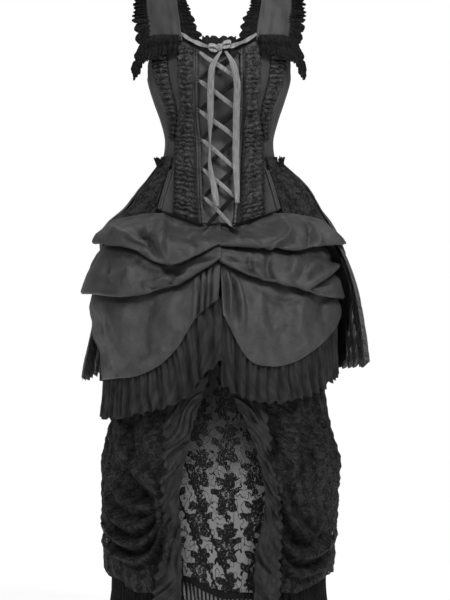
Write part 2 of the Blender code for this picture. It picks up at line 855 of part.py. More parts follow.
def overskirt(side, u, v):
    height = mix(SKIRT_TOP, -0.96, v)
    angle = mix(front_opening(side, height, 0.012), SKIRT_SIDE_SEAM - SEAM_TRIM, u)
    height = mix(SKIRT_TOP, read(OVERSKIRT_HEM, "height", side * angle), v)
    return ring(SKIRT, side * angle, height, drape(angle, height))


def overskirt_back(side, u, v):
    angle = mix(SKIRT_SIDE_SEAM + SEAM_TRIM, 180 - SEAM_TRIM, u)
    height = mix(SKIRT_TOP, read(OVERSKIRT_HEM, "height", side * angle), v)
    return ring(SKIRT, side * angle, height)


def jabot(side, u, v):
    """A gathered taffeta frill down the overskirt's edge, its folds standing in and out."""
    way = OPENING["right" if side > 0 else "left"]
    height = mix(-0.420, JABOT_BOTTOM, v)
    across = mix(read(way, "inner", height), read(way, "outer", height), u)
    out = JABOT_OUT + 0.004 * pleats(v, JABOT_FOLDS) * (1 - 0.6 * u)
    return ring(SKIRT, angle_of(SKIRT, side, across, height), height, out)


def hem_flounce(side, u, v):
    height = mix(FLOUNCE_TOP, FLOUNCE_BOTTOM, v)
    angle = mix(front_opening(side, height, 0.004), SKIRT_SIDE_SEAM - SEAM_TRIM, u)
    out = FLOUNCE_UNDER + mix(0.001, 0.004, v) * pleats(u, SWAG_PLEATS)
    return ring(SKIRT, side * angle, height, out)


def hem_flounce_back(u, v):
    height = mix(FLOUNCE_TOP, FLOUNCE_BOTTOM, v)
    angle = mix(SKIRT_SIDE_SEAM + SEAM_TRIM, 360 - SKIRT_SIDE_SEAM - SEAM_TRIM, u)
    out = FLOUNCE_UNDER + mix(0.001, 0.004, v) * pleats(u, 2 * SWAG_PLEATS)
    return ring(SKIRT, angle, height, out)


def panel_point(u, height, out=0.0):
    across = mix(-PANEL_HALF, PANEL_HALF, u)
    angle = angle_of(SKIRT, 1, np.abs(across), height) * np.sign(across)
    return ring(SKIRT, angle, height, PANEL_UNDER + out)


def panel_hem(u):
    return read(PANEL_HEM, "height", mix(-PANEL_HALF, PANEL_HALF, u))


def front_panel(u, v):
    return panel_point(u, mix(SKIRT_TOP, panel_hem(u), v))


def front_border(u, v):
    return panel_point(u, panel_hem(u) - BUTT_GAP - BORDER_DEPTH * v)


def front_ruffle(u, v):
    height = mix(panel_hem(u) - 0.5 * BORDER_DEPTH, FRONT_RUFFLE_BOTTOM, v)
    return panel_point(u, height, -0.004 + 0.003 * v * pleats(u, FRONT_PLEATS))


pair("overskirt", overskirt, 9, 9, LACE_THICK, LACE)
pair("overskirt_back", overskirt_back, 6, 6, LACE_THICK, LACE)
pair("jabot", jabot, 2, 2 * JABOT_FOLDS, LACE_THICK, TAFFETA)
pair("hem_flounce", hem_flounce, 2 * SWAG_PLEATS, 1, LACE_THICK, TULLE)
cloth("hem_flounce_back", hem_flounce_back, 4 * SWAG_PLEATS, 1, LACE_THICK, TULLE)
cloth("front_panel", front_panel, 6, 7, LACE_THICK, LACE)
cloth("front_border", front_border, 6, 1, LACE_THICK, LACE)
cloth("front_ruffle", front_ruffle, 2 * FRONT_PLEATS, 1, LACE_THICK, TULLE)
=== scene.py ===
import bpy
import numpy as np
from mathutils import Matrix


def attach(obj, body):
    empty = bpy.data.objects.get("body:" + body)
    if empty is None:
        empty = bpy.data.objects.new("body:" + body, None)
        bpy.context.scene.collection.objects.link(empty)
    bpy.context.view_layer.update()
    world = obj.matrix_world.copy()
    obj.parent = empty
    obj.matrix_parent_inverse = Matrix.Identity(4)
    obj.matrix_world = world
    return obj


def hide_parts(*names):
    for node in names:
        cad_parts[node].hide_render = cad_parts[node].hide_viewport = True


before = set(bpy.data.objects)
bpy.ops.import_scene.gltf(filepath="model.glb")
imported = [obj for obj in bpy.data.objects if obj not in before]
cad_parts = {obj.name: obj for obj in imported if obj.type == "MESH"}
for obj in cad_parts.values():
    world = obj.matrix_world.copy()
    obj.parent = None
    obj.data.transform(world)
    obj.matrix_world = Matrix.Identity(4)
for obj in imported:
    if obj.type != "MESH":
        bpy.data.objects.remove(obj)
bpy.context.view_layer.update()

# ---------------------------------------------------------------- camera, floor and light
# A level camera straight in front, far enough off that the sides aren't foreshortened. The straps
# are cut by the top of the frame and the hem by its foot. White floor and white surround, which
# light the dress only a little, so that the soft boxes above it model its folds.

LENS = 150.0
SENSOR_HEIGHT = 36.0
FRAME_HEIGHT = 1.32  # what the frame shows at the middle of the dress's front
MIDDLE = (0.013, -0.080, -0.352)
FLOOR_HEIGHT = -1.125

view = bpy.data.cameras.new("Camera")
view.lens = LENS
view.sensor_fit = "VERTICAL"
view.sensor_height = SENSOR_HEIGHT
camera = bpy.data.objects.new("Camera", view)
distance = FRAME_HEIGHT * LENS / SENSOR_HEIGHT
camera.location = (MIDDLE[0], MIDDLE[1] - distance, MIDDLE[2])
camera.rotation_euler = (np.pi / 2, 0, 0)
bpy.context.scene.collection.objects.link(camera)
bpy.context.scene.camera = camera
bpy.context.scene.view_settings.view_transform = "Standard"

SURROUND_LIGHT = 0.20
SOFT_BOXES = [
    # place, aim, width, power in watts
    ((-1.5, -2.3, 2.0), (0.0, 0.0, -0.35), 1.0, 43.0),
    ((1.6, -2.1, 2.0), (0.0, 0.0, -0.35), 1.0, 68.0),
    ((0.0, 0.9, 2.6), (0.0, 0.0, -0.2), 1.4, 30.0),
]
for number, (spot, aim, width, power) in enumerate(SOFT_BOXES):
    lamp = bpy.data.lights.new(f"Soft box {number + 1}", "AREA")
    lamp.size = width
    lamp.energy = power
    box = bpy.data.objects.new(lamp.name, lamp)
    box.location = spot
    heading = np.subtract(aim, spot)
    box.rotation_euler = (
        np.arccos(-heading[2] / np.linalg.norm(heading)),
        0.0,
        np.arctan2(heading[1], heading[0]) - np.pi / 2,
    )
    bpy.context.scene.collection.objects.link(box)

surround = bpy.data.worlds.new("White surround")
surround.use_nodes = True
seen = surround.node_tree.nodes["Background"]
seen.inputs["Color"].default_value = (1.0, 1.0, 1.0, 1.0)
kind_of_ray = surround.node_tree.nodes.new("ShaderNodeLightPath")
strength = surround.node_tree.nodes.new("ShaderNodeMapRange")
strength.inputs["To Min"].default_value = SURROUND_LIGHT
strength.inputs["To Max"].default_value = 1.0
surround.node_tree.links.new(kind_of_ray.outputs["Is Camera Ray"], strength.inputs["Value"])
surround.node_tree.links.new(strength.outputs[0], seen.inputs["Strength"])
bpy.context.scene.world = surround

FLOOR_REACH = 1.7
ground = bpy.data.meshes.new("Floor")
square = ((-1, -1), (1, -1), (1, 1), (-1, 1))
corners = [(x * FLOOR_REACH, y * FLOOR_REACH, FLOOR_HEIGHT) for x, y in square]
ground.from_pydata(corners, [], [(0, 1, 2, 3)])
floor = bpy.data.objects.new("Floor", ground)
floor_white = bpy.data.materials.new("Floor white")
floor_white.use_nodes = True
paint = floor_white.node_tree.nodes["Principled BSDF"].inputs
paint["Base Color"].default_value = (0.93, 0.93, 0.93, 1)
paint["Roughness"].default_value = 0.9
paint["Emission Color"].default_value = (1, 1, 1, 1)
paint["Emission Strength"].default_value = 0.5
ground.materials.append(floor_white)
bpy.context.scene.collection.objects.link(floor)

# ---------------------------------------------------------------- the ribbon's two loose tails
# The lacing ribbon ends in two tails that hang from the knot at the neckline: soft satin ribbon,
# 12 mm wide, lying on the lacing. The left one twists once and turns narrow near the waist.


def table(columns, *rows):
    """A table with named columns, its rows sorted by the first one."""
    values = np.array(sorted(rows), float)
    return dict(zip(columns.split(), values.T))


def read(of, column, at):
    """A smooth curve through a column: a cubic between rows, its slope taken from the neighbours."""
    places = next(iter(of.values()))
    values = of[column]
    slopes = np.gradient(values, places)
    at = np.clip(at, places[0], places[-1])
    i = np.clip(np.searchsorted(places, at) - 1, 0, len(places) - 2)
    step = places[i + 1] - places[i]
    t = (at - places[i]) / step
    start = (1 + 2 * t) * (1 - t) ** 2 * values[i] + t * (1 - t) ** 2 * step * slopes[i]
    end = t**2 * (3 - 2 * t) * values[i + 1] + t**2 * (t - 1) * step * slopes[i + 1]
    return start + end


def mix(a, b, share):
    return a + (b - a) * share


def ease(low, high, at):
    """0 at low, 1 at high, with a smooth rise between. It falls if low is the larger."""
    t = np.clip((at - low) / (high - low), 0, 1)
    return t * t * (3 - 2 * t)


def hump(at, middle, width):
    """A smooth hump: 1 at the middle, falling off as a bell of that half width."""
    return np.exp(-(((at - middle) / width) ** 2))


SIDES = ((-1, "left"), (1, "right"))


def label_of(side):
    return "right" if side > 0 else "left"


# Level sections of the bodice: half widths at -X and +X, depths in front and behind, and the
# power of the superellipse, 2 for an ellipse.
SECTION = "height left right front back square"
TORSO = table(
    SECTION,
    (0.260, 0.150, 0.150, 0.100, 0.098, 2.6),
    (0.225, 0.156, 0.156, 0.112, 0.100, 2.6),
    (0.178, 0.161, 0.161, 0.124, 0.101, 2.6),
    (0.132, 0.157, 0.157, 0.127, 0.098, 2.5),
    (0.088, 0.144, 0.144, 0.117, 0.092, 2.4),
    (0.044, 0.129, 0.129, 0.104, 0.086, 2.3),
    (0.000, 0.119, 0.119, 0.095, 0.083, 2.2),
    (-0.040, 0.124, 0.124, 0.096, 0.090, 2.2),
    (-0.090, 0.143, 0.143, 0.101, 0.105, 2.2),
    (-0.140, 0.162, 0.162, 0.106, 0.118, 2.2),
    (-0.200, 0.178, 0.178, 0.111, 0.126, 2.2),
)


def sizes(section, height, out=0.0):
    """A section's four half sizes, moved out, and its squareness."""
    halves = [read(section, side, height) + out for side in ("left", "right", "front", "back")]
    return halves, read(section, "square", height)


def place(halves, square, angle, height):
    """Points of a superellipse: x goes with the sine of the angle and y with minus its cosine."""
    left, right, front, back = halves
    sine = np.sin(np.radians(angle))
    cosine = np.cos(np.radians(angle))
    half = np.where(sine < 0, left, right)
    depth = np.where(cosine > 0, front, back)
    x = half * np.sign(sine) * np.abs(sine) ** (2 / square)
    y = -depth * np.sign(cosine) * np.abs(cosine) ** (2 / square)
    return np.stack(np.broadcast_arrays(x, y, height), axis=-1)


def ring(section, angle, height, out=0.0):
    halves, square = sizes(section, height, out)
    return place(halves, square, angle, height)


def angle_of(section, side, across, height):
    """The angle at which a section is that far from the middle, on the +X or the -X side."""
    half = read(section, "right" if side > 0 else "left", height)
    square = read(section, "square", height)
    return side * np.degrees(np.arcsin(np.clip(across / half, 0, 1) ** (square / 2)))


def signed_angle(section, across, height):
    """angle_of for distances that are negative at -X, on a section with like halves."""
    return angle_of(section, 1, np.abs(across), height) * np.sign(across)


def wander(points, size, seed):
    """Smooth wandering between about -1 and 1: waves of random heading, each about size long, added."""
    chance = np.random.default_rng(seed)
    total = np.zeros(points.shape[:-1])
    for _ in range(9):
        heading = chance.normal(size=3)
        heading *= 2 * np.pi / (size * chance.uniform(0.6, 1.7) * np.linalg.norm(heading))
        total += np.sin(points @ heading + chance.uniform(0, 2 * np.pi))
    return total / 3.5


def gathers(along, pitch, seed):
    """Uneven rounded folds, -1 to 1, along a seam: a sine whose spacing and height both wander."""
    chance = np.random.default_rng(seed)
    knots = np.arange(256)
    shift = np.interp(along / (1.7 * pitch) % 255, knots, chance.uniform(-0.33, 0.33, 256))
    height = np.interp(along / (1.3 * pitch) % 255, knots, chance.uniform(0.45, 1.0, 256))
    return height * np.sin(2 * np.pi * (along / pitch + shift))


class Field:
    """A value that varies over the cloth. Arithmetic on it adds Math nodes to its material."""

    def __init__(self, tree, socket):
        self.tree = tree
        self.socket = socket

    def feed(self, slot, value):
        if isinstance(value, Field):
            self.tree.links.new(value.socket, slot)
        else:
            slot.default_value = value

    def math(self, operation, *others):
        made = self.tree.nodes.new("ShaderNodeMath")
        made.operation = operation
        for slot, value in zip(made.inputs, (self, *others)):
            self.feed(slot, value)
        return Field(self.tree, made.outputs[0])

    def __add__(self, other):
        return self.math("ADD", other)

    def __sub__(self, other):
        return self.math("SUBTRACT", other)

    def __mul__(self, other):
        return self.math("MULTIPLY", other)

    def __truediv__(self, other):
        return self.math("DIVIDE", other)

    def __abs__(self):
        return self.math("ABSOLUTE")

    def sine(self):
        return self.math("SINE")

    def rise(self, low, high):
        """0 below low, 1 above high, smooth between; low may be the larger."""
        made = self.tree.nodes.new("ShaderNodeMapRange")
        made.interpolation_type = "SMOOTHSTEP"
        backwards = low > high
        ends = (high, low, 1.0, 0.0) if backwards else (low, high, 0.0, 1.0)
        for slot, value in zip(made.inputs, (self, *ends)):
            self.feed(slot, value)
        return Field(self.tree, made.outputs[0])

    def either(self, other):
        return self.math("MAXIMUM", other)

    def noise(self, other, size, across=1.0, detail=2.0):
        """Cloudy noise over the two coordinates, its marks size wide and size times across long."""
        joined = self.tree.nodes.new("ShaderNodeCombineXYZ")
        self.feed(joined.inputs[0], self)
        self.feed(joined.inputs[1], other * (1.0 / across))
        cloud = self.tree.nodes.new("ShaderNodeTexNoise")
        cloud.noise_dimensions = "2D"
        self.tree.links.new(joined.outputs[0], cloud.inputs["Vector"])
        cloud.inputs["Scale"].default_value = 1.0 / size
        cloud.inputs["Detail"].default_value = detail
        return Field(self.tree, cloud.outputs[0])


def fabric(name, roughness, specular, sheen):
    """A fabric with no colour yet, and its coordinates in metres across and down the cloth."""
    made = bpy.data.materials.new(name)
    made.use_nodes = True
    tree = made.node_tree
    shader = tree.nodes["Principled BSDF"]
    shader.inputs["Roughness"].default_value = roughness
    shader.inputs["Specular IOR Level"].default_value = specular
    shader.inputs["Sheen Weight"].default_value = sheen
    shader.inputs["Sheen Roughness"].default_value = 0.5
    split = tree.nodes.new("ShaderNodeSeparateXYZ")
    tree.links.new(tree.nodes.new("ShaderNodeUVMap").outputs[0], split.inputs[0])
    return made, shader, Field(tree, split.outputs[0]), Field(tree, split.outputs[1])


BLUER = 1.02  # every black and grey of the dress is this much stronger in blue


def object_place(tree):
    """The place on the dress itself, in metres: to the wearer's left, back and up."""
    split = tree.nodes.new("ShaderNodeSeparateXYZ")
    tree.links.new(tree.nodes.new("ShaderNodeTexCoord").outputs["Object"], split.inputs[0])
    return [Field(tree, socket) for socket in split.outputs]


def dye(shader, share, low, high):
    """Colours the cloth from one grey, low, where share is 0 to another, high, where it is 1."""
    blend = share.tree.nodes.new("ShaderNodeMix")
    blend.data_type = "RGBA"
    share.feed(blend.inputs[0], share)
    for slot, level in ((6, low), (7, high)):
        blend.inputs[slot].default_value = (level, level, level * BLUER, 1.0)
    share.tree.links.new(blend.outputs[2], shader.inputs["Base Color"])


def emboss(shader, height, depth):
    """Raises the cloth's surface by depth where height is 1, as bump."""
    bump = height.tree.nodes.new("ShaderNodeBump")
    bump.inputs["Strength"].default_value = 1.0
    bump.inputs["Distance"].default_value = depth
    height.feed(bump.inputs["Height"], height)
    height.tree.links.new(bump.outputs[0], shader.inputs["Normal"])


def grid_mesh(name, points, outward, material, wall):
    """A mesh on a grid of points, with a UV map in metres run along the cloth, walled both ways."""
    rows, columns = points.shape[:2]
    steps_across = np.linalg.norm(np.diff(points, axis=1), axis=-1)
    steps_down = np.linalg.norm(np.diff(points, axis=0), axis=-1)
    along = np.concatenate([np.zeros((rows, 1)), np.cumsum(steps_across, axis=1)], axis=1)
    along -= along[:, columns // 2][:, None]
    down = np.concatenate([np.zeros((1, columns)), np.cumsum(steps_down, axis=0)], axis=0)
    index = np.arange(rows * columns).reshape(rows, columns)
    quads = np.stack([index[:-1, :-1], index[:-1, 1:], index[1:, 1:], index[1:, :-1]], axis=-1)
    quads = quads.reshape(-1, 4)
    if not outward:
        quads = quads[:, ::-1]
    mesh = bpy.data.meshes.new(name)
    mesh.from_pydata(points.reshape(-1, 3), [], quads.tolist())
    layer = mesh.uv_layers.new(name="cloth")
    spots = np.stack([along, -down], axis=-1).reshape(-1, 2)[quads.reshape(-1)]
    layer.data.foreach_set("uv", spots.astype(np.float32).reshape(-1))
    mesh.shade_smooth()
    mesh.materials.append(material)
    piece = bpy.data.objects.new(name, mesh)
    bpy.context.scene.collection.objects.link(piece)
    solid = piece.modifiers.new("Cloth thickness", "SOLIDIFY")
    solid.thickness = wall
    solid.offset = 0
    return piece


def lay(surface, across, down, relief):
    """Points of surface(u, v), moved along its outward normals by relief(u, v, points)."""
    v, u = np.meshgrid(np.linspace(0, 1, down + 1), np.linspace(0, 1, across + 1), indexing="ij")
    base = surface(u, v)
    normal = np.cross(np.gradient(base, axis=1), np.gradient(base, axis=0))
    normal /= np.linalg.norm(normal, axis=-1, keepdims=True) + 1e-12
    outward = (normal * base * (1, 1, 0)).sum() > 0
    if not outward:
        normal = -normal
    points = base if relief is None else base + normal * relief(u, v, base)[..., None]
    return points, base, outward


def area_of(points):
    """The area of a grid of points, each cell taken as a flat parallelogram."""
    sides = np.cross(np.diff(points, axis=1)[:-1], np.diff(points, axis=0)[:, :-1])
    return np.linalg.norm(sides, axis=-1).sum()


def belongs(piece, node=None):
    """Every piece is on the dress's one body; most stand for the CAD node of the same cloth."""
    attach(piece, "root")
    if node:
        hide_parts(node)


NARROWEST = 0.010  # a tape is cut no narrower than this


def cloth(node, surface, across, down, wall, material, slot, relief=None, held="hung", on=()):
    """A sheet of cloth that stands for a CAD node. Its folds take up no cloth in length, so it was
    cut wider than it lies by as much as they add to its area."""
    points, base, outward = lay(surface, across, down, relief)
    piece = grid_mesh(f"{node}_cloth", points, outward, material, wall)
    area = area_of(points)
    fullness = area / area_of(base)
    width = fullness * np.linalg.norm(np.diff(base, axis=1), axis=-1).sum(axis=1).max()
    width = max(width, NARROWEST)
    length = np.linalg.norm(np.diff(base, axis=0), axis=-1).sum(axis=0).max()
    area = min(area, width * length)
    belongs(piece, node)
    return piece


def pair(node, surface, *rest, relief=None, on=(), **more):
    """The same piece on both sides: surface(side, u, v) with side -1 for left and +1 for right."""
    for side, label in SIDES:
        cloth(
            f"{node}_{label}",
            lambda u, v, side=side: surface(side, u, v),
            *rest,
            relief=None if relief is None else lambda u, v, p, side=side: relief(side, u, v, p),
            on=[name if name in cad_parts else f"{name}_{label}" for name in on],
            **more,
        )


RIBBON_WALL = 0.0005
# Black satin ribbon with painted sheen: its colour is a light grey, lighter still along long lengthwise
# streaks, standing in for the satin's highlights.
ribbon, shader, x, y = fabric("Grey satin ribbon", 0.33, 0.5, 0.05)
threads = (x * 5200.0).sine() * 0.5 + 0.5
streaks = x.noise(y, 0.0016, 14.0)
dye(shader, streaks.rise(0.25, 0.75), 0.150, 0.330)
emboss(shader, threads * 0.35 + x.noise(y, 0.006, 2.5), 0.0006)

TAIL_COLUMNS = "along x height out width turn"
TAILS = {
    "left": table(
        TAIL_COLUMNS,
        (0.00, 0.004, 0.190, 0.0165, 0.006, 0.3),
        (0.12, -0.012, 0.160, 0.0165, 0.012, 0.2),
        (0.25, -0.016, 0.125, 0.0155, 0.013, -0.1),
        (0.45, -0.017, 0.050, 0.0140, 0.012, 0.2),
        (0.60, -0.018, -0.005, 0.0135, 0.008, 0.9),
        (0.75, -0.018, -0.055, 0.0150, 0.009, 0.6),
        (0.90, -0.010, -0.105, 0.0165, 0.013, 0.1),
        (1.00, -0.004, -0.148, 0.0170, 0.011, -0.2),
    ),
    "right": table(
        TAIL_COLUMNS,
        (0.00, 0.013, 0.190, 0.0165, 0.006, -0.4),
        (0.12, 0.026, 0.165, 0.0180, 0.012, -0.3),
        (0.25, 0.034, 0.130, 0.0175, 0.013, 0.1),
        (0.50, 0.033, 0.040, 0.0160, 0.013, -0.1),
        (0.75, 0.033, -0.050, 0.0155, 0.013, 0.2),
        (0.90, 0.035, -0.105, 0.0160, 0.011, -0.2),
        (1.00, 0.036, -0.140, 0.0165, 0.009, 0.1),
    ),
}
PATH_POINTS = 40


def tail_point(way, u, v):
    """v runs down the tail's middle line and u across its width, which turns about that line."""
    turn = read(way, "turn", v)
    step = (u - 0.5) * read(way, "width", v)
    across = read(way, "x", v) + step * np.cos(turn)
    height = read(way, "height", v)
    out = read(way, "out", v) + 0.0008 + np.abs(step) * np.abs(np.sin(turn)) * np.sign(u - 0.5) * 0.6
    return ring(TORSO, signed_angle(TORSO, across, height), height, out)


for label, way in TAILS.items():
    points, base, outward = lay(lambda u, v, way=way: tail_point(way, u, v), 6, 110, None)
    curl = 0.0009 * np.sin(np.linspace(0, 1, 7) * np.pi)[None, :, None]
    points = points + curl * np.array((0.0, -1.0, 0.0))
    piece = grid_mesh(f"ribbon_tail_{label}_ribbon", points, outward, ribbon, RIBBON_WALL)
    line = tail_point(way, np.full(PATH_POINTS, 0.5), np.linspace(0, 1, PATH_POINTS))
    belongs(piece, f"ribbon_tail_{label}")

# ---------------------------------------------------------------- the corset bodice
# Front, side and back panels of black satin with flat bones sewn inside them, which show as long
# soft ridges. They are sewn edge to edge and open down the front over a satin modesty panel.

SEAM_TRIM = 0.12
SIDE_FRONT_SEAM = 52.0
SIDE_BACK_SEAM = 100.0
TAPE_WIDTH = 0.006
MODESTY_UNDERLAP = 0.012
MODESTY_DEPTH = -0.0048
SATIN_WALL = 0.0012
BONES = (61.0, 74.0, 89.0, 112.0, 131.0, 150.0, 170.0)  # where the bones run, degrees from the front
TOP_EDGE = table(
    "angle height",
    (0, 0.206),
    (15, 0.213),
    (24, 0.224),
    (45, 0.226),
    (64, 0.212),
    (76, 0.165),
    (90, 0.141),
    (104, 0.152),
    (117, 0.205),
    (128, 0.238),
    (150, 0.238),
    (164, 0.229),
    (180, 0.227),
)
FRONT_HEM = table(
    "angle height",
    (0, -0.187),
    (12, -0.186),
    (25, -0.174),
    (38, -0.163),
    (SIDE_FRONT_SEAM, -0.153),
)
SIDE_HEM = table("angle height", (SIDE_FRONT_SEAM, -0.056), (110, -0.052), (180, -0.066))
LACING_GAP = table(
    "height half",
    (0.226, 0.052),
    (0.130, 0.053),
    (0.060, 0.052),
    (0.000, 0.047),
    (-0.060, 0.045),
    (-0.120, 0.043),
    (-0.190, 0.038),
)


def satin_finish(name, low, high, roughness, sheen):
    """Satin: a fine diagonal twill, long soft streaks of sheen and a slightly uneven surface."""
    made, shader, x, y = fabric(name, roughness, 0.40, sheen)
    twill = ((x + y) * 7800.0).sine() * 0.5 + 0.5
    cloud = x.noise(y, 0.022, 2.5, 3.0)
    fleck = x.noise(y, 0.0016, 1.6, 2.0)
    dye(shader, (cloud * 0.65 + fleck * 0.35).rise(0.3, 0.72), low, high)
    emboss(shader, cloud + twill * 0.10 + fleck * 0.22, 0.0011)
    return made


satin = satin_finish("Black satin", 0.032, 0.074, 0.40, 0.03)
facing = satin_finish("Panel satin", 0.034, 0.066, 0.36, 0.04)


RADIAN = 57.3               # degrees in one radian, as round as the folds need it


def round_angle(points):
    """Degrees round the body from centre front, the same on both sides."""
    return np.degrees(np.arctan2(np.abs(points[..., 0]), -points[..., 1]))


def boned(side, u, v, points):
    """Low ridges over the bones, a dip at each seamed edge and long uneven tension ripples."""
    around = round_angle(points)
    relief = 0.0007 * wander(points * (1, 1, 0.4), 0.055, 3)
    for bone in BONES:
        relief += 0.0011 * np.exp(-(((around - bone) / 1.5) ** 4))
    return relief - 0.0012 * (hump(u, 0, 0.025) + hump(u, 1, 0.025))


def bodice_panel(start, end, hem):
    def surface(side, u, v):
        angle = mix(start + SEAM_TRIM, end - SEAM_TRIM, u)
        height = mix(read(TOP_EDGE, "height", angle), read(hem, "height", angle), v)
        return ring(TORSO, side * angle, height)

    return surface


def bodice_front(side, u, v):
    rough = mix(0.21, -0.18, v)
    lacing_edge = np.abs(angle_of(TORSO, side, read(LACING_GAP, "half", rough), rough))
    angle = mix(lacing_edge, SIDE_FRONT_SEAM - SEAM_TRIM, u)
    height = mix(read(TOP_EDGE, "height", angle), read(FRONT_HEM, "height", angle), v)
    return ring(TORSO, side * angle, height)


def modesty_panel(u, v):
    height = mix(0.205, -0.186, v)
    edge = angle_of(TORSO, 1, read(LACING_GAP, "half", height) + MODESTY_UNDERLAP, height)
    return ring(TORSO, edge * (2 * u - 1), height, MODESTY_DEPTH)


def gap_edge(moved):
    return lambda height: read(LACING_GAP, "half", height) + moved


def centre_strip(section, inner, outer, top, bottoms, out):
    """A strip beside the centre line, its edges given as distances from it at each height."""

    def surface(side, u, v):
        height = mix(top, mix(*bottoms, u), v)
        across = mix(inner(height), outer(height), u)
        return ring(section, angle_of(section, side, across, height), height, out)

    return surface


cloth(
    "modesty_panel", modesty_panel, 40, 90, SATIN_WALL, facing, "black_satin",
    relief=lambda u, v, p: 0.0016 * wander(p * (0.7, 1, 1), 0.05, 11) - 0.001,
    held="stretched", on=["bodice_front_left", "bodice_front_right"],
)
pair(
    "bodice_front", bodice_front, 44, 90, SATIN_WALL, satin, "black_satin",
    relief=boned, held="stretched", on=["bodice_side"],
)
pair(
    "bodice_side", bodice_panel(SIDE_FRONT_SEAM, SIDE_BACK_SEAM, SIDE_HEM),
    48, 56, SATIN_WALL, satin, "black_satin",
    relief=boned, held="stretched", on=["bodice_front"],
)
pair(
    "bodice_back", bodice_panel(SIDE_BACK_SEAM, 180, SIDE_HEM),
    60, 50, SATIN_WALL, satin, "black_satin",
    relief=boned, held="stretched", on=["bodice_side"],
)
pair(
    "loop_tape",
    centre_strip(TORSO, gap_edge(-TAPE_WIDTH), gap_edge(-0.001), 0.204, (-0.184, -0.184), 0.0),
    6, 160, 0.0010, facing, "black_satin",
    relief=lambda side, u, v, p: 0.0006 * gathers(v * 0.39, 0.011, 5), held="stretched",
    on=["bodice_front"],
)

# ---------------------------------------------------------------- the cord loops for the lacing
# Seven small loops of satin cord on each front edge, sewn under the facing tape, which the lacing
# ribbon passes through. Each side's loops are one mesh of bent tubes.

LOOP_COUNT = 7
TOP_LOOP = 0.190
LOOP_SPACING = 0.0635
LOOP_REACH = 0.0075
LOOP_CORD = 0.0011


def tube(points, radius, sides=8):
    """Vertices and faces of a round cord along points: a ring of points square to each step."""
    ahead = np.gradient(points, axis=0)
    ahead /= np.linalg.norm(ahead, axis=1, keepdims=True)
    across = np.cross(ahead, (0.31, 0.42, 0.85))
    across /= np.linalg.norm(across, axis=1, keepdims=True)
    other = np.cross(ahead, across)
    turn = np.linspace(0, 2 * np.pi, sides, endpoint=False)[None, :, None]
    rings = points[:, None] + radius * (across[:, None] * np.cos(turn) + other[:, None] * np.sin(turn))
    index = np.arange(len(points) * sides).reshape(-1, sides)
    after = np.roll(index, -1, axis=1)
    quads = np.stack([index[:-1], after[:-1], after[1:], index[1:]], axis=-1).reshape(-1, 4)
    caps = [index[0, ::-1].tolist(), index[-1].tolist()]
    return rings.reshape(-1, 3), quads.tolist() + caps


def joined(name, parts, material, slot):
    """One mesh of many small closed shapes, each given as its vertices and faces."""
    places, faces, start = [], [], 0
    for vertices, polygons in parts:
        places.append(vertices)
        faces += [[corner + start for corner in face] for face in polygons]
        start += len(vertices)
    mesh = bpy.data.meshes.new(name)
    mesh.from_pydata(np.concatenate(places), [], faces)
    mesh.uv_layers.new(name="cloth")
    mesh.shade_smooth()
    mesh.materials.append(material)
    piece = bpy.data.objects.new(name, mesh)
    bpy.context.scene.collection.objects.link(piece)
    belongs(piece)
    return piece


def cord_loop(side, number):
    """A half loop from the facing tape toward the middle and back, a little slack."""
    turn = np.linspace(-0.5 * np.pi, 0.5 * np.pi, 11)
    height = TOP_LOOP - LOOP_SPACING * number + 0.0036 * np.sin(turn)
    across = read(LACING_GAP, "half", height) - TAPE_WIDTH + 0.002 - LOOP_REACH * np.cos(turn)
    out = 0.0045 + 0.0025 * np.cos(turn)
    return ring(TORSO, angle_of(TORSO, side, across, height), height, out)


loop_cord, shader, x, y = fabric("Loop cord", 0.32, 0.5, 0.05)
sideways, _, height = object_place(x.tree)
twist = ((height + sideways) * 4200.0).sine()
dye(shader, twist.rise(-0.9, 0.9), 0.06, 0.14)
emboss(shader, twist, 0.0003)
for side, label in SIDES:
    loops = [tube(cord_loop(side, number), LOOP_CORD) for number in range(LOOP_COUNT)]
    joined(f"lacing_loops_{label}", loops, loop_cord, "black_satin")

# ---------------------------------------------------------------- lace bands on the bodice
# Narrow floral lace, gathered and sewn flat down both edges: one band beside the lacing and one
# that slants in from the bust to meet it at the waist. The gathers run across the band.

LACE_WALL = 0.0008
TRIM_OUT = 0.0050
INNER_BAND = table(
    "height outer",
    (0.205, 0.090),
    (0.130, 0.088),
    (0.070, 0.084),
    (0.000, 0.094),
    (-0.060, 0.096),
    (-0.120, 0.097),
    (-0.180, 0.099),
)
OUTER_BAND = table(
    "height inner outer",
    (0.185, 0.112, 0.146),
    (0.140, 0.108, 0.140),
    (0.100, 0.099, 0.127),
    (0.066, 0.091, 0.114),
    (0.030, 0.092, 0.108),
    (0.000, 0.097, 0.104),
)


def petals(x, y, radius, count, turn):
    """How far inside a flower a place is, in metres: its edge is a circle pulled in between petals."""
    reach = (x * x + y * y).math("SQRT")
    angle = y.math("ARCTAN2", x)
    edge = (abs((angle * (count / 2) + turn).sine()) * 0.45 + 0.60) * radius
    return edge - reach, reach


def leaf(x, y, heading, length, width):
    """How far inside a pointed leaf a place is: narrower toward both ends of its own length."""
    along = x * float(np.cos(heading)) + y * float(np.sin(heading))
    across = abs(y * float(np.cos(heading)) - x * float(np.sin(heading)))
    return (along * along) * (-width / length**2) - across + width


def repeat(x, y, width, height, shift):
    """Places within one repeat of a half-drop pattern, from -half to +half of its size."""
    column = (x / width + shift).math("FLOOR")
    odd = column.math("FLOORED_MODULO", 2.0)
    inside_x = ((x / width + shift) - column - 0.5) * width
    row = y / height + odd * 0.5 + shift
    return inside_x, (row - row.math("FLOOR") - 0.5) * height


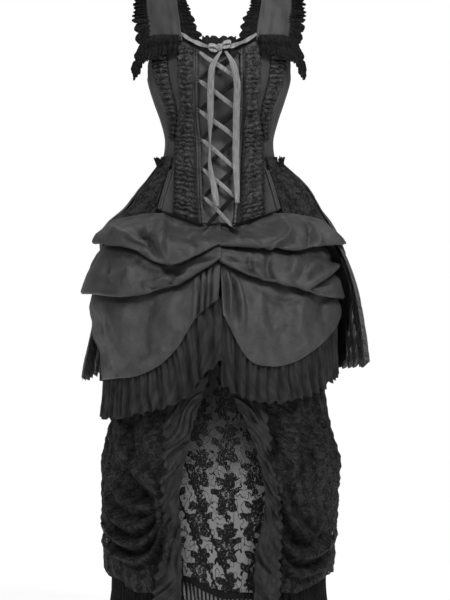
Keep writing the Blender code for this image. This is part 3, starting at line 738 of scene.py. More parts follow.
def lace_threads(x, y, scale=1.0, shift=0.0):
    """Floral lace as the share of thread at a place: flowers with open scribbled middles, leaves
    and buds on winding stems in a half-drop repeat. The second value is the cord round their edges."""
    bent_x = x + (x.noise(y, 0.030 * scale) - 0.5) * (0.011 * scale)
    bent_y = y + (y.noise(x, 0.036 * scale) - 0.5) * (0.013 * scale)
    cell_x, cell_y = repeat(bent_x, bent_y, 0.062 * scale, 0.108 * scale, shift)
    flower, reach = petals(cell_x, cell_y, 0.0225 * scale, 5.0, 0.6)
    inner, _ = petals(cell_x, cell_y, 0.0105 * scale, 5.0, 0.2)
    edge = 0.0006 * scale
    motif, cord = flower.rise(-edge, edge), abs(flower).rise(3 * edge, edge)
    for aside, along, radius in ((0.008, 0.031, 0.0150), (-0.009, -0.030, 0.0135)):
        bloom, _ = petals(cell_x - aside * scale, cell_y - along * scale, radius * scale, 6.0, 1.1)
        motif = motif.either(bloom.rise(-edge, edge))
        cord = cord.either(abs(bloom).rise(3 * edge, edge))
    for angle, far, length, width in (
        (1.25, 0.030, 0.013, 0.0065),
        (1.95, 0.033, 0.012, 0.0060),
        (-1.10, 0.030, 0.013, 0.0070),
        (-1.85, 0.034, 0.012, 0.0060),
        (0.35, 0.027, 0.009, 0.0050),
        (2.85, 0.027, 0.009, 0.0050),
        (-1.5, 0.048, 0.007, 0.0045),
    ):
        moved_x = cell_x - float(np.cos(angle)) * far * scale
        moved_y = cell_y - float(np.sin(angle)) * far * scale
        one = leaf(moved_x, moved_y, angle + 0.5, length * scale, width * scale)
        motif = motif.either(one.rise(-edge, edge))
        cord = cord.either(abs(one).rise(3 * edge, edge))
    scribble = ((reach * (900.0 / scale)) + cell_x.noise(cell_y, 0.004 * scale) * 9.0).sine()
    open_middle = inner.rise(-edge, edge) * scribble.rise(0.1, -0.35)
    stem = abs(cell_x - (cell_y * (58.0 / scale)).sine() * (0.011 * scale)).rise(0.0013 * scale, edge)
    cord = cord.either(stem)
    sprigs = abs(x.noise(y, 0.016 * scale, 1.5, 1.0) - 0.5).rise(0.030, 0.012)
    grain = x.noise(y, 0.0030, 1.3, 2.0)
    fill = motif * (grain.rise(0.36, 0.56) * 0.50 + 0.50)
    return (fill - open_middle * 0.75).either(cord).either(sprigs * 0.8), cord


def net_threads(x, y, pitch):
    """A fine diamond net: two sets of slanting threads."""
    one = abs(((x + y * 0.6) * (np.pi / pitch)).sine())
    two = abs(((x - y * 0.6) * (np.pi / pitch)).sine())
    return one.rise(0.42, 0.12).either(two.rise(0.42, 0.12))


def lace_over(name, low, high, depth, scale=1.0, free_edge=None):
    """Black floral lace laid on black cloth, so that only its thread and its relief show. Beyond
    free_edge metres from the middle the cloth under it stops and the lace is see-through."""
    made, shader, x, y = fabric(name, 0.62, 0.14, 0.0)
    thread, cord = lace_threads(x, y, scale)
    mesh = net_threads(x, y, 0.0030)
    cloud = x.noise(y, 0.012, 1.4, 3.0)
    speckle = x.noise(y, 0.0034, 1.2, 2.0).rise(0.36, 0.66)
    shine = (thread * 0.34 + cord * 0.24 + mesh * 0.12 + speckle * 0.42) * cloud.rise(0.15, 0.6)
    dye(shader, shine, low, high)
    emboss(shader, thread * 0.7 + cord * 0.6 + mesh * 0.2 + speckle * 0.8 + cloud * 0.5, depth)
    if free_edge:
        ragged = abs(object_place(x.tree)[0]) + (x.noise(y, 0.05) - 0.5) * 0.030
        backed = ragged.rise(free_edge + 0.014, free_edge)
        holes = speckle.rise(0.04, 0.34).either(cord).either(mesh * 0.7).either(backed)
        holes.feed(shader.inputs["Alpha"], holes)
    return made


band_lace = lace_over("Gathered band lace", 0.008, 0.150, 0.0010, 0.45)


def ruched(side, u, v, points, length, seed):
    """Gathers across a band between its two stitched edges, with a finer crimp over them."""
    held = 1 - (2 * u - 1) ** 4
    along = v * length + 0.0025 * wander(points, 0.02, seed)
    folds = gathers(along, 0.0112, seed + side) + 0.3 * gathers(along + 0.3, 0.0051, seed + 7)
    return 0.0034 * folds * (0.35 + 0.65 * held) + 0.0024 * held


pair(
    "inner_lace_band",
    centre_strip(
        TORSO,
        lambda h: read(LACING_GAP, "half", h) + 0.003 + 0.0012 * gathers(0.3 - h, 0.011, 21),
        lambda h: read(INNER_BAND, "outer", h) + 0.0016 * gathers(0.3 - h, 0.010, 22),
        0.203,
        (-0.182, -0.164),
        TRIM_OUT,
    ),
    22, 210, LACE_WALL, band_lace, "black_lace",
    relief=lambda side, u, v, p: ruched(side, u, v, p, 0.38, 31),
    held="gathered", on=["bodice_front"],
)
pair(
    "outer_lace_band",
    centre_strip(
        TORSO,
        lambda h: read(OUTER_BAND, "inner", h) + 0.0015 * gathers(0.3 - h, 0.011, 23),
        lambda h: read(OUTER_BAND, "outer", h) + 0.0015 * gathers(0.3 - h, 0.010, 24),
        0.185,
        (0.0, 0.0),
        TRIM_OUT,
    ),
    16, 120, LACE_WALL, band_lace, "black_lace",
    relief=lambda side, u, v, p: ruched(side, u, v, p, 0.19, 37),
    held="gathered", on=["bodice_front"],
)

# ---------------------------------------------------------------- piped bone casings at the hips
# A narrow satin casing over the side front seam below the waist, with a piping cord sewn into each
# of its edges. The two cords catch the light and the casing between them stays dark.


def boning_channel(side, u, v):
    height = mix(-0.066, -0.152, v)
    return ring(TORSO, side * mix(47.0, 51.4, u), height, 0.0032)


def piping(side, u, v, points):
    return 0.0022 * (hump(u, 0.14, 0.09) + hump(u, 0.86, 0.09)) + 0.0008 * hump(u, 0.5, 0.12)


pair(
    "boning_channel", boning_channel, 24, 60, SATIN_WALL, facing, "black_satin",
    relief=piping, held="stretched", on=["bodice_front"],
)

# ---------------------------------------------------------------- the shoulder straps
# Wide straps of the same satin, lapped and sewn to the bodice in front and behind. They are drawn
# up a little where they are sewn down, so a few soft creases run along them.

STRAP_INNER_ANGLE = 24.0
STRAP_OUTER_ANGLE = 64.0
STRAP_BACK_INNER = 150.0
STRAP_BACK_OUTER = 125.0
STRAP_LAP = 0.009
STRAP_OUT = 0.0036
STRAP = table(
    "along inner_x inner_y inner_z outer_x outer_y outer_z",
    (0.00, 0.080, -0.107, 0.224, 0.149, -0.068, 0.212),
    (0.14, 0.086, -0.100, 0.262, 0.157, -0.060, 0.255),
    (0.30, 0.092, -0.086, 0.308, 0.160, -0.050, 0.302),
    (0.45, 0.094, -0.060, 0.362, 0.158, -0.036, 0.348),
    (0.60, 0.096, -0.008, 0.405, 0.156, 0.000, 0.384),
    (0.75, 0.098, 0.046, 0.375, 0.152, 0.038, 0.354),
    (0.88, 0.099, 0.078, 0.312, 0.144, 0.062, 0.302),
    (1.00, 0.088, 0.090, 0.246, 0.134, 0.072, 0.240),
)
STRAP_LENGTH = 0.56


def ring_foot(angle):
    """The foot of a strap, lapped over the outside of the bodice's top edge."""
    return ring(TORSO, angle, read(TOP_EDGE, "height", angle) - STRAP_LAP, STRAP_OUT)


def strap(side, u, v, out=0.0):
    """The strap at v along it and u across it; u runs past 0 and 1 on the lace beside it."""
    edges = [
        np.stack([read(STRAP, f"{edge}_{axis}", v) for axis in "xyz"], axis=-1)
        for edge in ("inner", "outer")
    ]
    free = mix(edges[0], edges[1], u[..., None])
    front = ring_foot(mix(STRAP_INNER_ANGLE, STRAP_OUTER_ANGLE, u))
    back = ring_foot(mix(STRAP_BACK_INNER, STRAP_BACK_OUTER, u))
    from_front = ease(0.0, 0.2, v)[..., None]
    to_back = ease(0.84, 1.0, v)[..., None]
    point = mix(mix(front, free, from_front), back, to_back)
    outward = point * (1.0, 1.0, 0.0) + np.array((0.0, 0.0, 0.2)) * ease(0.3, 0.6, v)[..., None]
    outward /= np.linalg.norm(outward, axis=-1, keepdims=True)
    return (point + np.broadcast_to(out, v.shape)[..., None] * outward) * (side, 1, 1)


def strap_creases(side, u, v, points):
    """Long shallow folds up the strap, strongest at its gathered foot."""
    foot = 0.35 + 0.65 * ease(0.35, 0.02, v)
    folds = gathers(u * 0.072 + 0.007 * wander(points, 0.12, 41) + 0.2, 0.027, 43 + side)
    return 0.0014 * folds * foot + 0.0016 * wander(points, 0.06, 47) + 0.0008


strap_satin = satin_finish("Strap satin", 0.036, 0.064, 0.42, 0.05)
pair(
    "strap", strap, 26, 120, SATIN_WALL, strap_satin, "black_satin",
    relief=strap_creases, held="hung", on=["bodice_front", "bodice_back"],
)

# ---------------------------------------------------------------- lace round the neck and armholes
# Scalloped black lace, box pleated onto both edges of each strap and across the front of the
# neckline, and a wider gathered ruffle of it over the bust under each strap.

INNER_LACE = table(
    "along reach",
    (0.00, 0.36),
    (0.07, 0.43),
    (0.14, 0.42),
    (0.22, 0.34),
    (0.30, 0.27),
    (0.45, 0.29),
    (1.00, 0.29),
)
LACE_LAP = 0.05  # how far the lace runs in under the strap's edges, in strap widths
OUTER_LACE = (1 - LACE_LAP, 1.34)
INNER_RUN = (0.008, 0.99)
OUTER_RUN = (0.09, 0.93)
SCALLOP = 0.0165
frill_lace = lace_over("Scalloped frill lace", 0.006, 0.038, 0.0016, 0.36)


def scallops(along, seed):
    """How far a scalloped edge stands out, 0 to 1: round lobes, uneven in size."""
    chance = np.random.default_rng(seed)
    lobe = np.floor(along / SCALLOP).astype(int) % 90
    return chance.uniform(0.45, 1.0, 90)[lobe] * np.abs(np.sin(np.pi * along / SCALLOP)) ** 0.6


def strap_lace_inner(side, u, v):
    along = mix(*INNER_RUN, v)
    reach = read(INNER_LACE, "reach", along) * (0.82 + 0.30 * scallops(along * STRAP_LENGTH, 51 + side))
    return strap(side, mix(-reach, LACE_LAP, u), along, -0.0022)


def strap_lace_outer(side, u, v):
    along = mix(*OUTER_RUN, v)
    lobes = scallops(along * STRAP_LENGTH, 61 + side)
    across = mix(OUTER_LACE[0], 1 + (OUTER_LACE[1] - 1) * (0.72 + 0.48 * lobes), u)
    return strap(side, across, along, 0.0085 * u - 0.0022)


def lace_pleats(free, along, points, pitch, depth, seed):
    """Pleats that grow from the stitched edge, where free is 0, to the free edge, where it is 1."""
    folds = gathers(along + 0.003 * wander(points, 0.03, seed), pitch, seed)
    return depth * (0.25 + 0.75 * free) * folds + 0.3 * depth * gathers(along, pitch * 0.45, seed + 1)


pair(
    "strap_lace_inner", strap_lace_inner, 14, 300, LACE_WALL, frill_lace, "black_lace",
    relief=lambda side, u, v, p: lace_pleats(1 - u, v * STRAP_LENGTH, p, 0.0125, 0.0032, 53 + side),
    held="gathered", on=["strap"],
)
pair(
    "strap_lace_outer", strap_lace_outer, 14, 280, LACE_WALL, frill_lace, "black_lace",
    relief=lambda side, u, v, p: lace_pleats(u, v * STRAP_LENGTH, p, 0.0150, 0.0042, 63 + side),
    held="gathered", on=["strap"],
)

NECK_LACE_ANGLE = 8.3
NECK_LACE_RUN = 0.08


def neckline_lace(u, v):
    angle = mix(-NECK_LACE_ANGLE, NECK_LACE_ANGLE, u)
    top = -0.012 - 0.008 * scallops(u * NECK_LACE_RUN + 0.01, 71)
    height = read(TOP_EDGE, "height", np.abs(angle)) - mix(top, 0.014, v)
    return ring(TORSO, angle, height, mix(0.0065, 0.0095, v))


cloth(
    "neckline_lace", neckline_lace, 90, 12, LACE_WALL, frill_lace, "black_lace",
    relief=lambda u, v, p: 0.0014 * gathers(u * NECK_LACE_RUN, 0.011, 73) + 0.0008,
    held="gathered", on=["modesty_panel"],
)

BUST_RUFFLE = table(
    "angle top bottom flare",
    (25, 0.228, 0.190, 0.014),
    (45, 0.230, 0.177, 0.024),
    (60, 0.229, 0.166, 0.030),
    (70, 0.218, 0.152, 0.034),
    (76, 0.206, 0.137, 0.036),
    (80, 0.198, 0.146, 0.034),
)


RUFFLE_RUN = 0.19  # how far the bust ruffle's seam runs


def bust_ruffle(side, u, v):
    angle = mix(25.5, 80.0, u)
    bottom = read(BUST_RUFFLE, "bottom", angle) - 0.006 * scallops(u * RUFFLE_RUN, 81 + side) + 0.002
    bottom = bottom - 0.014 * hump(angle, 68.0, 5.0) + 0.014 * ease(74.0, 80.0, angle)
    height = mix(read(BUST_RUFFLE, "top", angle), bottom, v)
    out = mix(0.010 + 0.012 * ease(55, 78, angle), read(BUST_RUFFLE, "flare", angle), v)
    return ring(TORSO, side * angle, height, out)


def ruffle_folds(side, u, v, points):
    """Two rows of gathered lace: a puffed heading above a row of stitches, and the fall below."""
    along = u * RUFFLE_RUN + 0.006 * v
    heading = hump(v, 0.22, 0.16) * 0.0035 - hump(v, 0.46, 0.06) * 0.0030
    return heading + lace_pleats(v, along, points, 0.0135, 0.0040, 83 + side)


pair(
    "bust_ruffle", bust_ruffle, 170, 26, LACE_WALL, frill_lace, "black_lace",
    relief=ruffle_folds, held="gathered", on=["bodice_front"],
)

# ---------------------------------------------------------------- the lacing and the ribbon bow
# Satin ribbon laced through the loops in a row of crosses, its sheen painted into its colour as a light
# grey. Its bright side is out where it runs down to the right; where it runs under, its dull side
# shows, painted dark for the shade it lies in. At the neckline it is tied with the ribbons that come
# from under the bust ruffles.

RIBBON_WIDTH = 0.012
LACING_OVER = 0.0085
LACING_UNDER = 0.0050
LACING_EDGE = 0.0066
# Painted shade: the stretches that run under show the ribbon's dull side, rougher and less glossy, and
# their colour is painted far darker than the bright side's for the shade they lie in.
shaded_ribbon, shader, x, y = fabric("Ribbon dull side, painted shade", 0.6, 0.12, 0.0)
dye(shader, x.noise(y, 0.0016, 14.0).rise(0.25, 0.75), 0.008, 0.020)
emboss(shader, (y * 5200.0).sine() * 0.3 + x.noise(y, 0.006, 2.5), 0.0005)


def zigzag(side, u, v):
    """The ribbon that starts at the top loop on that side and crosses at each row of loops."""
    crossing = u * (LOOP_COUNT - 1)
    row = np.minimum(np.floor(crossing), LOOP_COUNT - 2)
    t = crossing - row
    leaving = side * (-1) ** row
    height = TOP_LOOP - LOOP_SPACING * crossing
    half = read(LACING_GAP, "half", height) - TAPE_WIDTH - 0.004
    across = leaving * (1 - 2 * t) * half
    middle = np.sin(np.pi * t)
    level = np.where(leaving < 0, LACING_OVER, LACING_UNDER)
    out = mix(LACING_EDGE, level, middle)
    width = mix(0.45, 1.0, np.clip(2.5 * middle, 0, 1)) * RIBBON_WIDTH
    height = height - (v - 0.5) * width - 0.0012 * np.sin(2 * np.pi * t) * (-1) ** row
    out = out + 0.0007 * np.sin(np.pi * v) * middle
    return ring(TORSO, signed_angle(TORSO, across, height), height, out)


def over_and_under(piece, faces_across, side):
    """Gives the stretches that run under, which show the dull side, the shaded ribbon with its painted
    shade.
    """
    piece.data.materials.append(shaded_ribbon)
    count = len(piece.data.polygons)
    column = np.arange(count) % faces_across
    row = np.floor(column / faces_across * (LOOP_COUNT - 1))
    under = side * (-1) ** row > 0
    piece.data.polygons.foreach_set("material_index", under.astype(np.int32))


LACING_STEPS = 6 * 24
for side, label in SIDES:
    piece = cloth(
        f"lacing_ribbon_{label}", lambda u, v, side=side: zigzag(side, u, v),
        LACING_STEPS, 5, RIBBON_WALL, ribbon, "grey_ribbon", held="stretched",
        on=[f"lacing_loops_{label}"],
    )
    over_and_under(piece, LACING_STEPS, side)

NECK_RIBBON = table(
    "along x height out width",
    (0.0, 0.074, 0.229, 0.016, 0.010),
    (0.4, 0.050, 0.212, 0.017, 0.011),
    (0.8, 0.022, 0.200, 0.016, 0.010),
    (1.0, 0.0118, 0.1980, 0.0155, 0.007),
)


def neck_ribbon(side, u, v):
    """A ribbon twisted on its way from the strap's foot to the knot."""
    twist = 0.9 * np.sin(2.4 * np.pi * u + side)
    step = (v - 0.5) * read(NECK_RIBBON, "width", u)
    height = read(NECK_RIBBON, "height", u) - step * np.cos(twist)
    out = read(NECK_RIBBON, "out", u) + 0.001 + 0.6 * np.abs(step) * np.sin(twist) * np.sign(v - 0.5)
    angle = angle_of(TORSO, side, read(NECK_RIBBON, "x", u), height)
    return ring(TORSO, angle, height, out)


pair(
    "neck_ribbon", neck_ribbon, 60, 6, RIBBON_WALL, ribbon, "grey_ribbon",
    held="hung", on=["strap", "ribbon_knot"],
)


def knot_wrap(u, v):
    """The ribbon wound once round the crossing: a squashed ball with a few lengthwise folds."""
    turn = 2 * np.pi * u
    belly = np.sin(np.pi * v) ** 0.5
    folds = 1 + 0.10 * np.sin(5 * turn + 6 * v)
    x = 0.0015 + 0.0068 * belly * folds * np.cos(turn)
    y = 0.0050 * belly * folds * np.sin(turn)
    middle = ring(TORSO, np.array(0.0), np.array(0.198), 0.0168)
    return np.stack([x, middle[1] - y, 0.1985 - 0.0075 * np.cos(np.pi * v)], axis=-1)


points, base, outward = lay(knot_wrap, 24, 14, None)
knot = grid_mesh("ribbon_knot_wrap", points, outward, ribbon, RIBBON_WALL)
belongs(knot, "ribbon_knot")


def bow_loop(side, u, v):
    """A small flat loop of the bow: out from the knot and back, one side over the other."""
    turn = 2 * np.pi * u
    reach = 0.0175 * (1 - np.cos(turn)) / 2
    across = 0.0015 + side * (0.004 + reach)
    spread = 0.0052 * np.sin(turn)
    height = 0.1985 + (0.010 + 0.10 * reach) * 0.35 * side + spread + (v - 0.5) * 0.0085
    height = height + 0.25 * reach
    out = 0.0200 + 0.0022 * np.sin(turn) + 0.0022 * np.sin(np.pi * u)
    return ring(TORSO, signed_angle(TORSO, across, height), height, out)


for side, label in SIDES:
    points, base, outward = lay(lambda u, v, side=side: bow_loop(side, u, v), 40, 5, None)
    bow = grid_mesh(f"ribbon_bow_{label}", points, outward, ribbon, RIBBON_WALL)
    belongs(bow)

# ---------------------------------------------------------------- the hip basque
# Gathered lace over satin, shaped over each hip from the waist down to the poufs, with a stiff
# little frill of the same lace standing out at the waist on each side.

BASQUE_START = 52.4
BASQUE_TOP = -0.034
BASQUE_BOTTOM = -0.190
BASQUE_OUT = 0.0050
POUF_END = 88.0
HIP = table(
    SECTION,
    (-0.030, 0.126, 0.130, 0.088, 0.100, 2.2),
    (-0.060, 0.137, 0.155, 0.082, 0.115, 2.2),
    (-0.090, 0.162, 0.182, 0.078, 0.140, 2.2),
    (-0.120, 0.182, 0.204, 0.078, 0.165, 2.2),
    (-0.150, 0.203, 0.219, 0.078, 0.190, 2.2),
    (-0.180, 0.245, 0.238, 0.080, 0.220, 2.2),
    (-0.240, 0.264, 0.270, 0.090, 0.250, 2.2),
)
basque_lace = lace_over("Basque lace", 0.006, 0.085, 0.0018, 0.7)


def hip_halves(angle, height, out):
    """Half sizes of the hips: close over the bodice in front and at the top, then flaring."""
    flared = ease(54, 74, angle) * ease(-BASQUE_TOP, 0.080, -height)
    close = sizes(TORSO, height, BASQUE_OUT)[0]
    wide = [np.maximum(a, b) for a, b in zip(close, sizes(HIP, height)[0])]
    return [mix(a, b, flared) + out for a, b in zip(close, wide)]


def hip_basque(side, u, v):
    angle = mix(BASQUE_START, POUF_END, u)
    height = mix(BASQUE_TOP, BASQUE_BOTTOM, v)
    return place(hip_halves(angle, height, 0.0), 2.2, side * angle, height)


def basque_folds(side, u, v, points):
    """Soft gathers that fan out from the waist, uneven and deeper toward the outer side."""
    fan = gathers(u * 0.11 + 0.004 * wander(points, 0.04, 91), 0.015, 93 + side)
    return 0.0022 * fan * (0.5 + u) * ease(1.02, 0.85, v) + 0.0015 * wander(points, 0.03, 97)


pair(
    "hip_basque", hip_basque, 60, 80, LACE_WALL, basque_lace, "black_lace",
    relief=basque_folds, held="gathered", on=["bodice_side"],
)


WAIST_FRILL_RUN = 0.05


def waist_frill(side, u, v):
    """The frill's free edge rises and falls in small sharp tufts."""
    angle = mix(66.0, POUF_END, u)
    tufts = 0.55 + 0.35 * gathers(u * WAIST_FRILL_RUN, 0.0100, 99 + side)
    tufts = tufts + 0.15 * gathers(u * WAIST_FRILL_RUN, 0.0045, 103 + side)
    height = mix(-0.054, -0.044 + 0.011 * tufts, v)
    out = mix(0.006, 0.008 + 0.013 * tufts, v)
    return place(hip_halves(angle, height, out), 2.2, side * angle, height)


pair(
    "waist_frill", waist_frill, 130, 12, LACE_WALL, frill_lace, "black_lace",
    relief=lambda side, u, v, p: 0.0030 * v * gathers(u * WAIST_FRILL_RUN, 0.007, 101 + side),
    held="gathered", on=["hip_basque"],
)

# ---------------------------------------------------------------- the taffeta swags over the hips
# Three tiers of crisp black taffeta on each side, caught up at centre front and at the side seam.
# The two upper tiers end in a turned-under fold, the lowest in the seam of its frill. Their
# creases spread from the points where the cloth is caught.

TAFFETA_WALL = 0.0011
SWAG_START = 0.25
ROLL = 0.0065
LEFT_LAP = 1.0  # degrees by which the left swags lap over the right ones at centre front
POUF = table(
    SECTION,
    (-0.120, 0.178, 0.172, 0.104, 0.13, 2.1),
    (-0.160, 0.205, 0.196, 0.118, 0.18, 2.1),
    (-0.200, 0.243, 0.222, 0.142, 0.23, 2.1),
    (-0.240, 0.270, 0.248, 0.166, 0.27, 2.1),
    (-0.300, 0.289, 0.262, 0.190, 0.29, 2.1),
    (-0.350, 0.297, 0.268, 0.203, 0.29, 2.1),
    (-0.420, 0.285, 0.264, 0.212, 0.28, 2.1),
    (-0.480, 0.266, 0.260, 0.214, 0.27, 2.1),
    (-0.540, 0.261, 0.257, 0.216, 0.26, 2.1),
    (-0.620, 0.258, 0.260, 0.220, 0.26, 2.1),
)
SWAG_TOP = table(
    "angle height",
    (0, -0.172),
    (12, -0.170),
    (25, -0.160),
    (36, -0.155),
    (44, -0.160),
    (60, -0.162),
    (70, -0.172),
    (86, -0.196),
)
SWAGS = {
    "left": table(
        "angle fold_one fold_two hem frill",
        (0, -0.231, -0.264, -0.350, -0.486),
        (8, -0.257, -0.293, -0.385, -0.520),
        (17, -0.276, -0.319, -0.449, -0.556),
        (25, -0.271, -0.333, -0.484, -0.576),
        (38, -0.245, -0.343, -0.512, -0.596),
        (60, -0.232, -0.341, -0.524, -0.611),
        (86, -0.224, -0.338, -0.530, -0.614),
    ),
    "right": table(
        "angle fold_one fold_two hem frill",
        (0, -0.235, -0.267, -0.368, -0.532),
        (12, -0.236, -0.298, -0.474, -0.562),
        (24, -0.238, -0.315, -0.495, -0.573),
        (36, -0.244, -0.323, -0.489, -0.569),
        (52, -0.238, -0.341, -0.460, -0.553),
        (70, -0.231, -0.347, -0.424, -0.530),
        (86, -0.227, -0.350, -0.400, -0.515),
    ),
}
# Creases as they run seen from the front: ends, bend to one side, half width and depth. A depth
# below 0 is a trough. Each is sharp on one side and soft on the other.
CREASE = "x z to_x to_z bend width depth"
TAFFETA_CRISPNESS = 2.2
TAFFETA_DEPTH = 1.8  # the tiers' creases are all this much deeper than their tables say
UPPER_CREASES = {
    "left": table(
        CREASE,
        (-0.184, -0.196, -0.128, -0.252, -0.006, 0.012, -0.0120),
        (-0.118, -0.166, -0.122, -0.252, 0.004, 0.020, 0.0130),
        (-0.240, -0.190, -0.180, -0.212, 0.004, 0.010, 0.0050),
        (-0.099, -0.184, -0.050, -0.246, -0.010, 0.008, -0.0050),
        (-0.088, -0.192, -0.030, -0.226, -0.006, 0.012, 0.0045),
        (-0.062, -0.214, -0.018, -0.203, 0.003, 0.007, -0.0035),
        (-0.150, -0.180, -0.160, -0.232, 0.002, 0.010, 0.0040),
        (-0.030, -0.186, -0.006, -0.222, 0.003, 0.008, 0.0040),
        (-0.205, -0.214, -0.150, -0.236, 0.003, 0.008, -0.0040),
    ),
    "right": table(
        CREASE,
        (0.105, -0.236, 0.150, -0.212, 0.004, 0.009, 0.0085),
        (0.106, -0.240, 0.148, -0.226, 0.003, 0.006, -0.0065),
        (0.046, -0.214, 0.100, -0.166, 0.004, 0.014, 0.0070),
        (0.140, -0.166, 0.150, -0.222, -0.004, 0.020, 0.0100),
        (0.196, -0.170, 0.206, -0.232, -0.006, 0.013, -0.0105),
        (0.212, -0.190, 0.224, -0.230, 0.002, 0.006, 0.0060),
        (0.014, -0.186, 0.048, -0.222, -0.005, 0.008, -0.0045),
        (0.022, -0.226, 0.090, -0.232, -0.003, 0.007, 0.0040),
        (0.060, -0.176, 0.040, -0.222, 0.002, 0.009, 0.0045),
    ),
}
MIDDLE_CREASES = {
    "left": table(
        CREASE,
        (-0.148, -0.326, -0.104, -0.312, 0.006, 0.009, -0.0120),
        (-0.160, -0.318, -0.112, -0.300, 0.008, 0.012, 0.0060),
        (-0.255, -0.300, -0.168, -0.272, 0.012, 0.022, 0.0050),
        (-0.240, -0.262, -0.236, -0.318, 0.006, 0.014, -0.0045),
        (-0.204, -0.258, -0.190, -0.318, -0.005, 0.016, 0.0050),
        (-0.100, -0.290, -0.020, -0.262, -0.005, 0.009, -0.0070),
        (-0.088, -0.306, -0.012, -0.268, -0.004, 0.008, 0.0050),
        (-0.180, -0.262, -0.126, -0.286, 0.004, 0.011, -0.0035),
        (-0.118, -0.278, -0.074, -0.292, 0.004, 0.015, -0.0100),
        (-0.114, -0.306, -0.076, -0.302, 0.004, 0.007, 0.0045),
    ),
    "right": table(
        CREASE,
        (0.200, -0.328, 0.270, -0.282, 0.004, 0.010, -0.0110),
        (0.190, -0.322, 0.262, -0.272, 0.004, 0.014, 0.0080),
        (0.214, -0.324, 0.246, -0.312, 0.006, 0.006, 0.0075),
        (0.150, -0.300, 0.160, -0.254, 0.005, 0.018, 0.0080),
        (0.180, -0.312, 0.216, -0.262, -0.004, 0.012, 0.0050),
        (0.108, -0.262, 0.126, -0.318, 0.006, 0.012, -0.0085),
        (0.068, -0.260, 0.090, -0.306, 0.008, 0.010, -0.0070),
        (0.030, -0.268, 0.084, -0.274, 0.006, 0.007, 0.0055),
        (0.020, -0.258, 0.060, -0.290, -0.004, 0.008, -0.0050),
        (0.230, -0.254, 0.268, -0.262, 0.003, 0.010, -0.0040),
    ),
}
LOWER_CREASES = {
    "left": table(
        CREASE,
        (-0.008, -0.290, -0.010, -0.372, 0.001, 0.0034, 0.0070),
        (-0.014, -0.288, -0.017, -0.384, 0.001, 0.0034, -0.0090),
        (-0.020, -0.290, -0.024, -0.392, -0.001, 0.0034, 0.0075),
        (-0.026, -0.294, -0.031, -0.400, 0.001, 0.0034, -0.0090),
        (-0.032, -0.298, -0.038, -0.410, 0.001, 0.0036, 0.0065),
        (-0.039, -0.302, -0.046, -0.418, -0.001, 0.0040, -0.0070),
        (-0.048, -0.308, -0.056, -0.412, -0.002, 0.0060, 0.0045),
        (-0.262, -0.380, -0.244, -0.490, 0.008, 0.026, -0.0045),
        (-0.206, -0.352, -0.220, -0.490, -0.010, 0.034, 0.0060),
        (-0.140, -0.346, -0.150, -0.470, 0.014, 0.026, -0.0045),
        (-0.098, -0.346, -0.086, -0.430, 0.010, 0.026, 0.0040),
        (-0.170, -0.490, -0.100, -0.462, -0.006, 0.018, 0.0030),
    ),
    "right": table(
        CREASE,
        (0.012, -0.294, 0.016, -0.372, -0.002, 0.0038, -0.0080),
        (0.019, -0.296, 0.026, -0.384, -0.003, 0.0038, 0.0060),
        (0.027, -0.300, 0.040, -0.396, -0.004, 0.0046, -0.0070),
        (0.037, -0.304, 0.054, -0.404, -0.005, 0.0070, 0.0050),
        (0.092, -0.330, 0.108, -0.440, 0.012, 0.030, 0.0060),
        (0.140, -0.330, 0.150, -0.430, -0.010, 0.022, -0.0045),
        (0.180, -0.350, 0.186, -0.450, 0.008, 0.028, 0.0060),
        (0.226, -0.330, 0.224, -0.400, -0.005, 0.020, -0.0040),
        (0.100, -0.340, 0.170, -0.352, 0.006, 0.010, -0.0030),
    ),
}
taffeta, shader, x, y = fabric("Black taffeta", 0.40, 0.40, 0.06)
rib = (y * 7000.0).sine() * 0.5 + 0.5
slub = y.noise(x, 0.0009, 16.0)
crumple = x.noise(y, 0.034, 1.2, 4.0)
mottle = crumple * 0.6 + slub * 0.3 + x.noise(y, 0.004, 1.0) * 0.25
dye(shader, mottle.rise(0.35, 0.78), 0.028, 0.058)
emboss(shader, crumple * 1.2 + slub * 0.16 + rib * 0.05, 0.0022)


def creases(points, lines, crispness):
    """The height that a table of creases gives, each a bell across its own bent line, fading in
    and out at its ends. The bell's upper side is narrower by the crispness."""
    x, z = points[..., 0], points[..., 2]
    relief = np.zeros(x.shape)
    for start_x, start_z, end_x, end_z, bend, width, depth in zip(*lines.values()):
        run_x, run_z = end_x - start_x, end_z - start_z
        run = np.hypot(run_x, run_z)
        along = ((x - start_x) * run_x + (z - start_z) * run_z) / run**2
        off = ((x - start_x) * run_z - (z - start_z) * run_x) / run - 4 * bend * along * (1 - along)
        fade = ease(-0.22, 0.22, along) * ease(1.22, 0.78, along)
        relief += depth * fade * hump(off, 0, np.where(off > 0, width, width / crispness))
    return relief


def rolled(v, top, fold, outer, bulge):
    """Height and distance out of a puff: down its face, then a half turn under at its fold."""
    t = np.clip(v / 0.75, 0, 1)
    turn = np.pi * np.clip((v - 0.75) / 0.25, 0, 1)
    height = mix(top, fold + ROLL, t) - ROLL * np.sin(turn)
    out = outer(t) + bulge * np.sin(np.pi * t) - ROLL * (1 - np.cos(turn))
    return height, out


def front_edge(side, u):
    """Where a swag starts at centre front, and how far it is lifted there to lap over the other."""
    if side > 0:
        return SWAG_START, 0.0
    return -LEFT_LAP, 0.0035 * hump(u, 0, 0.05)


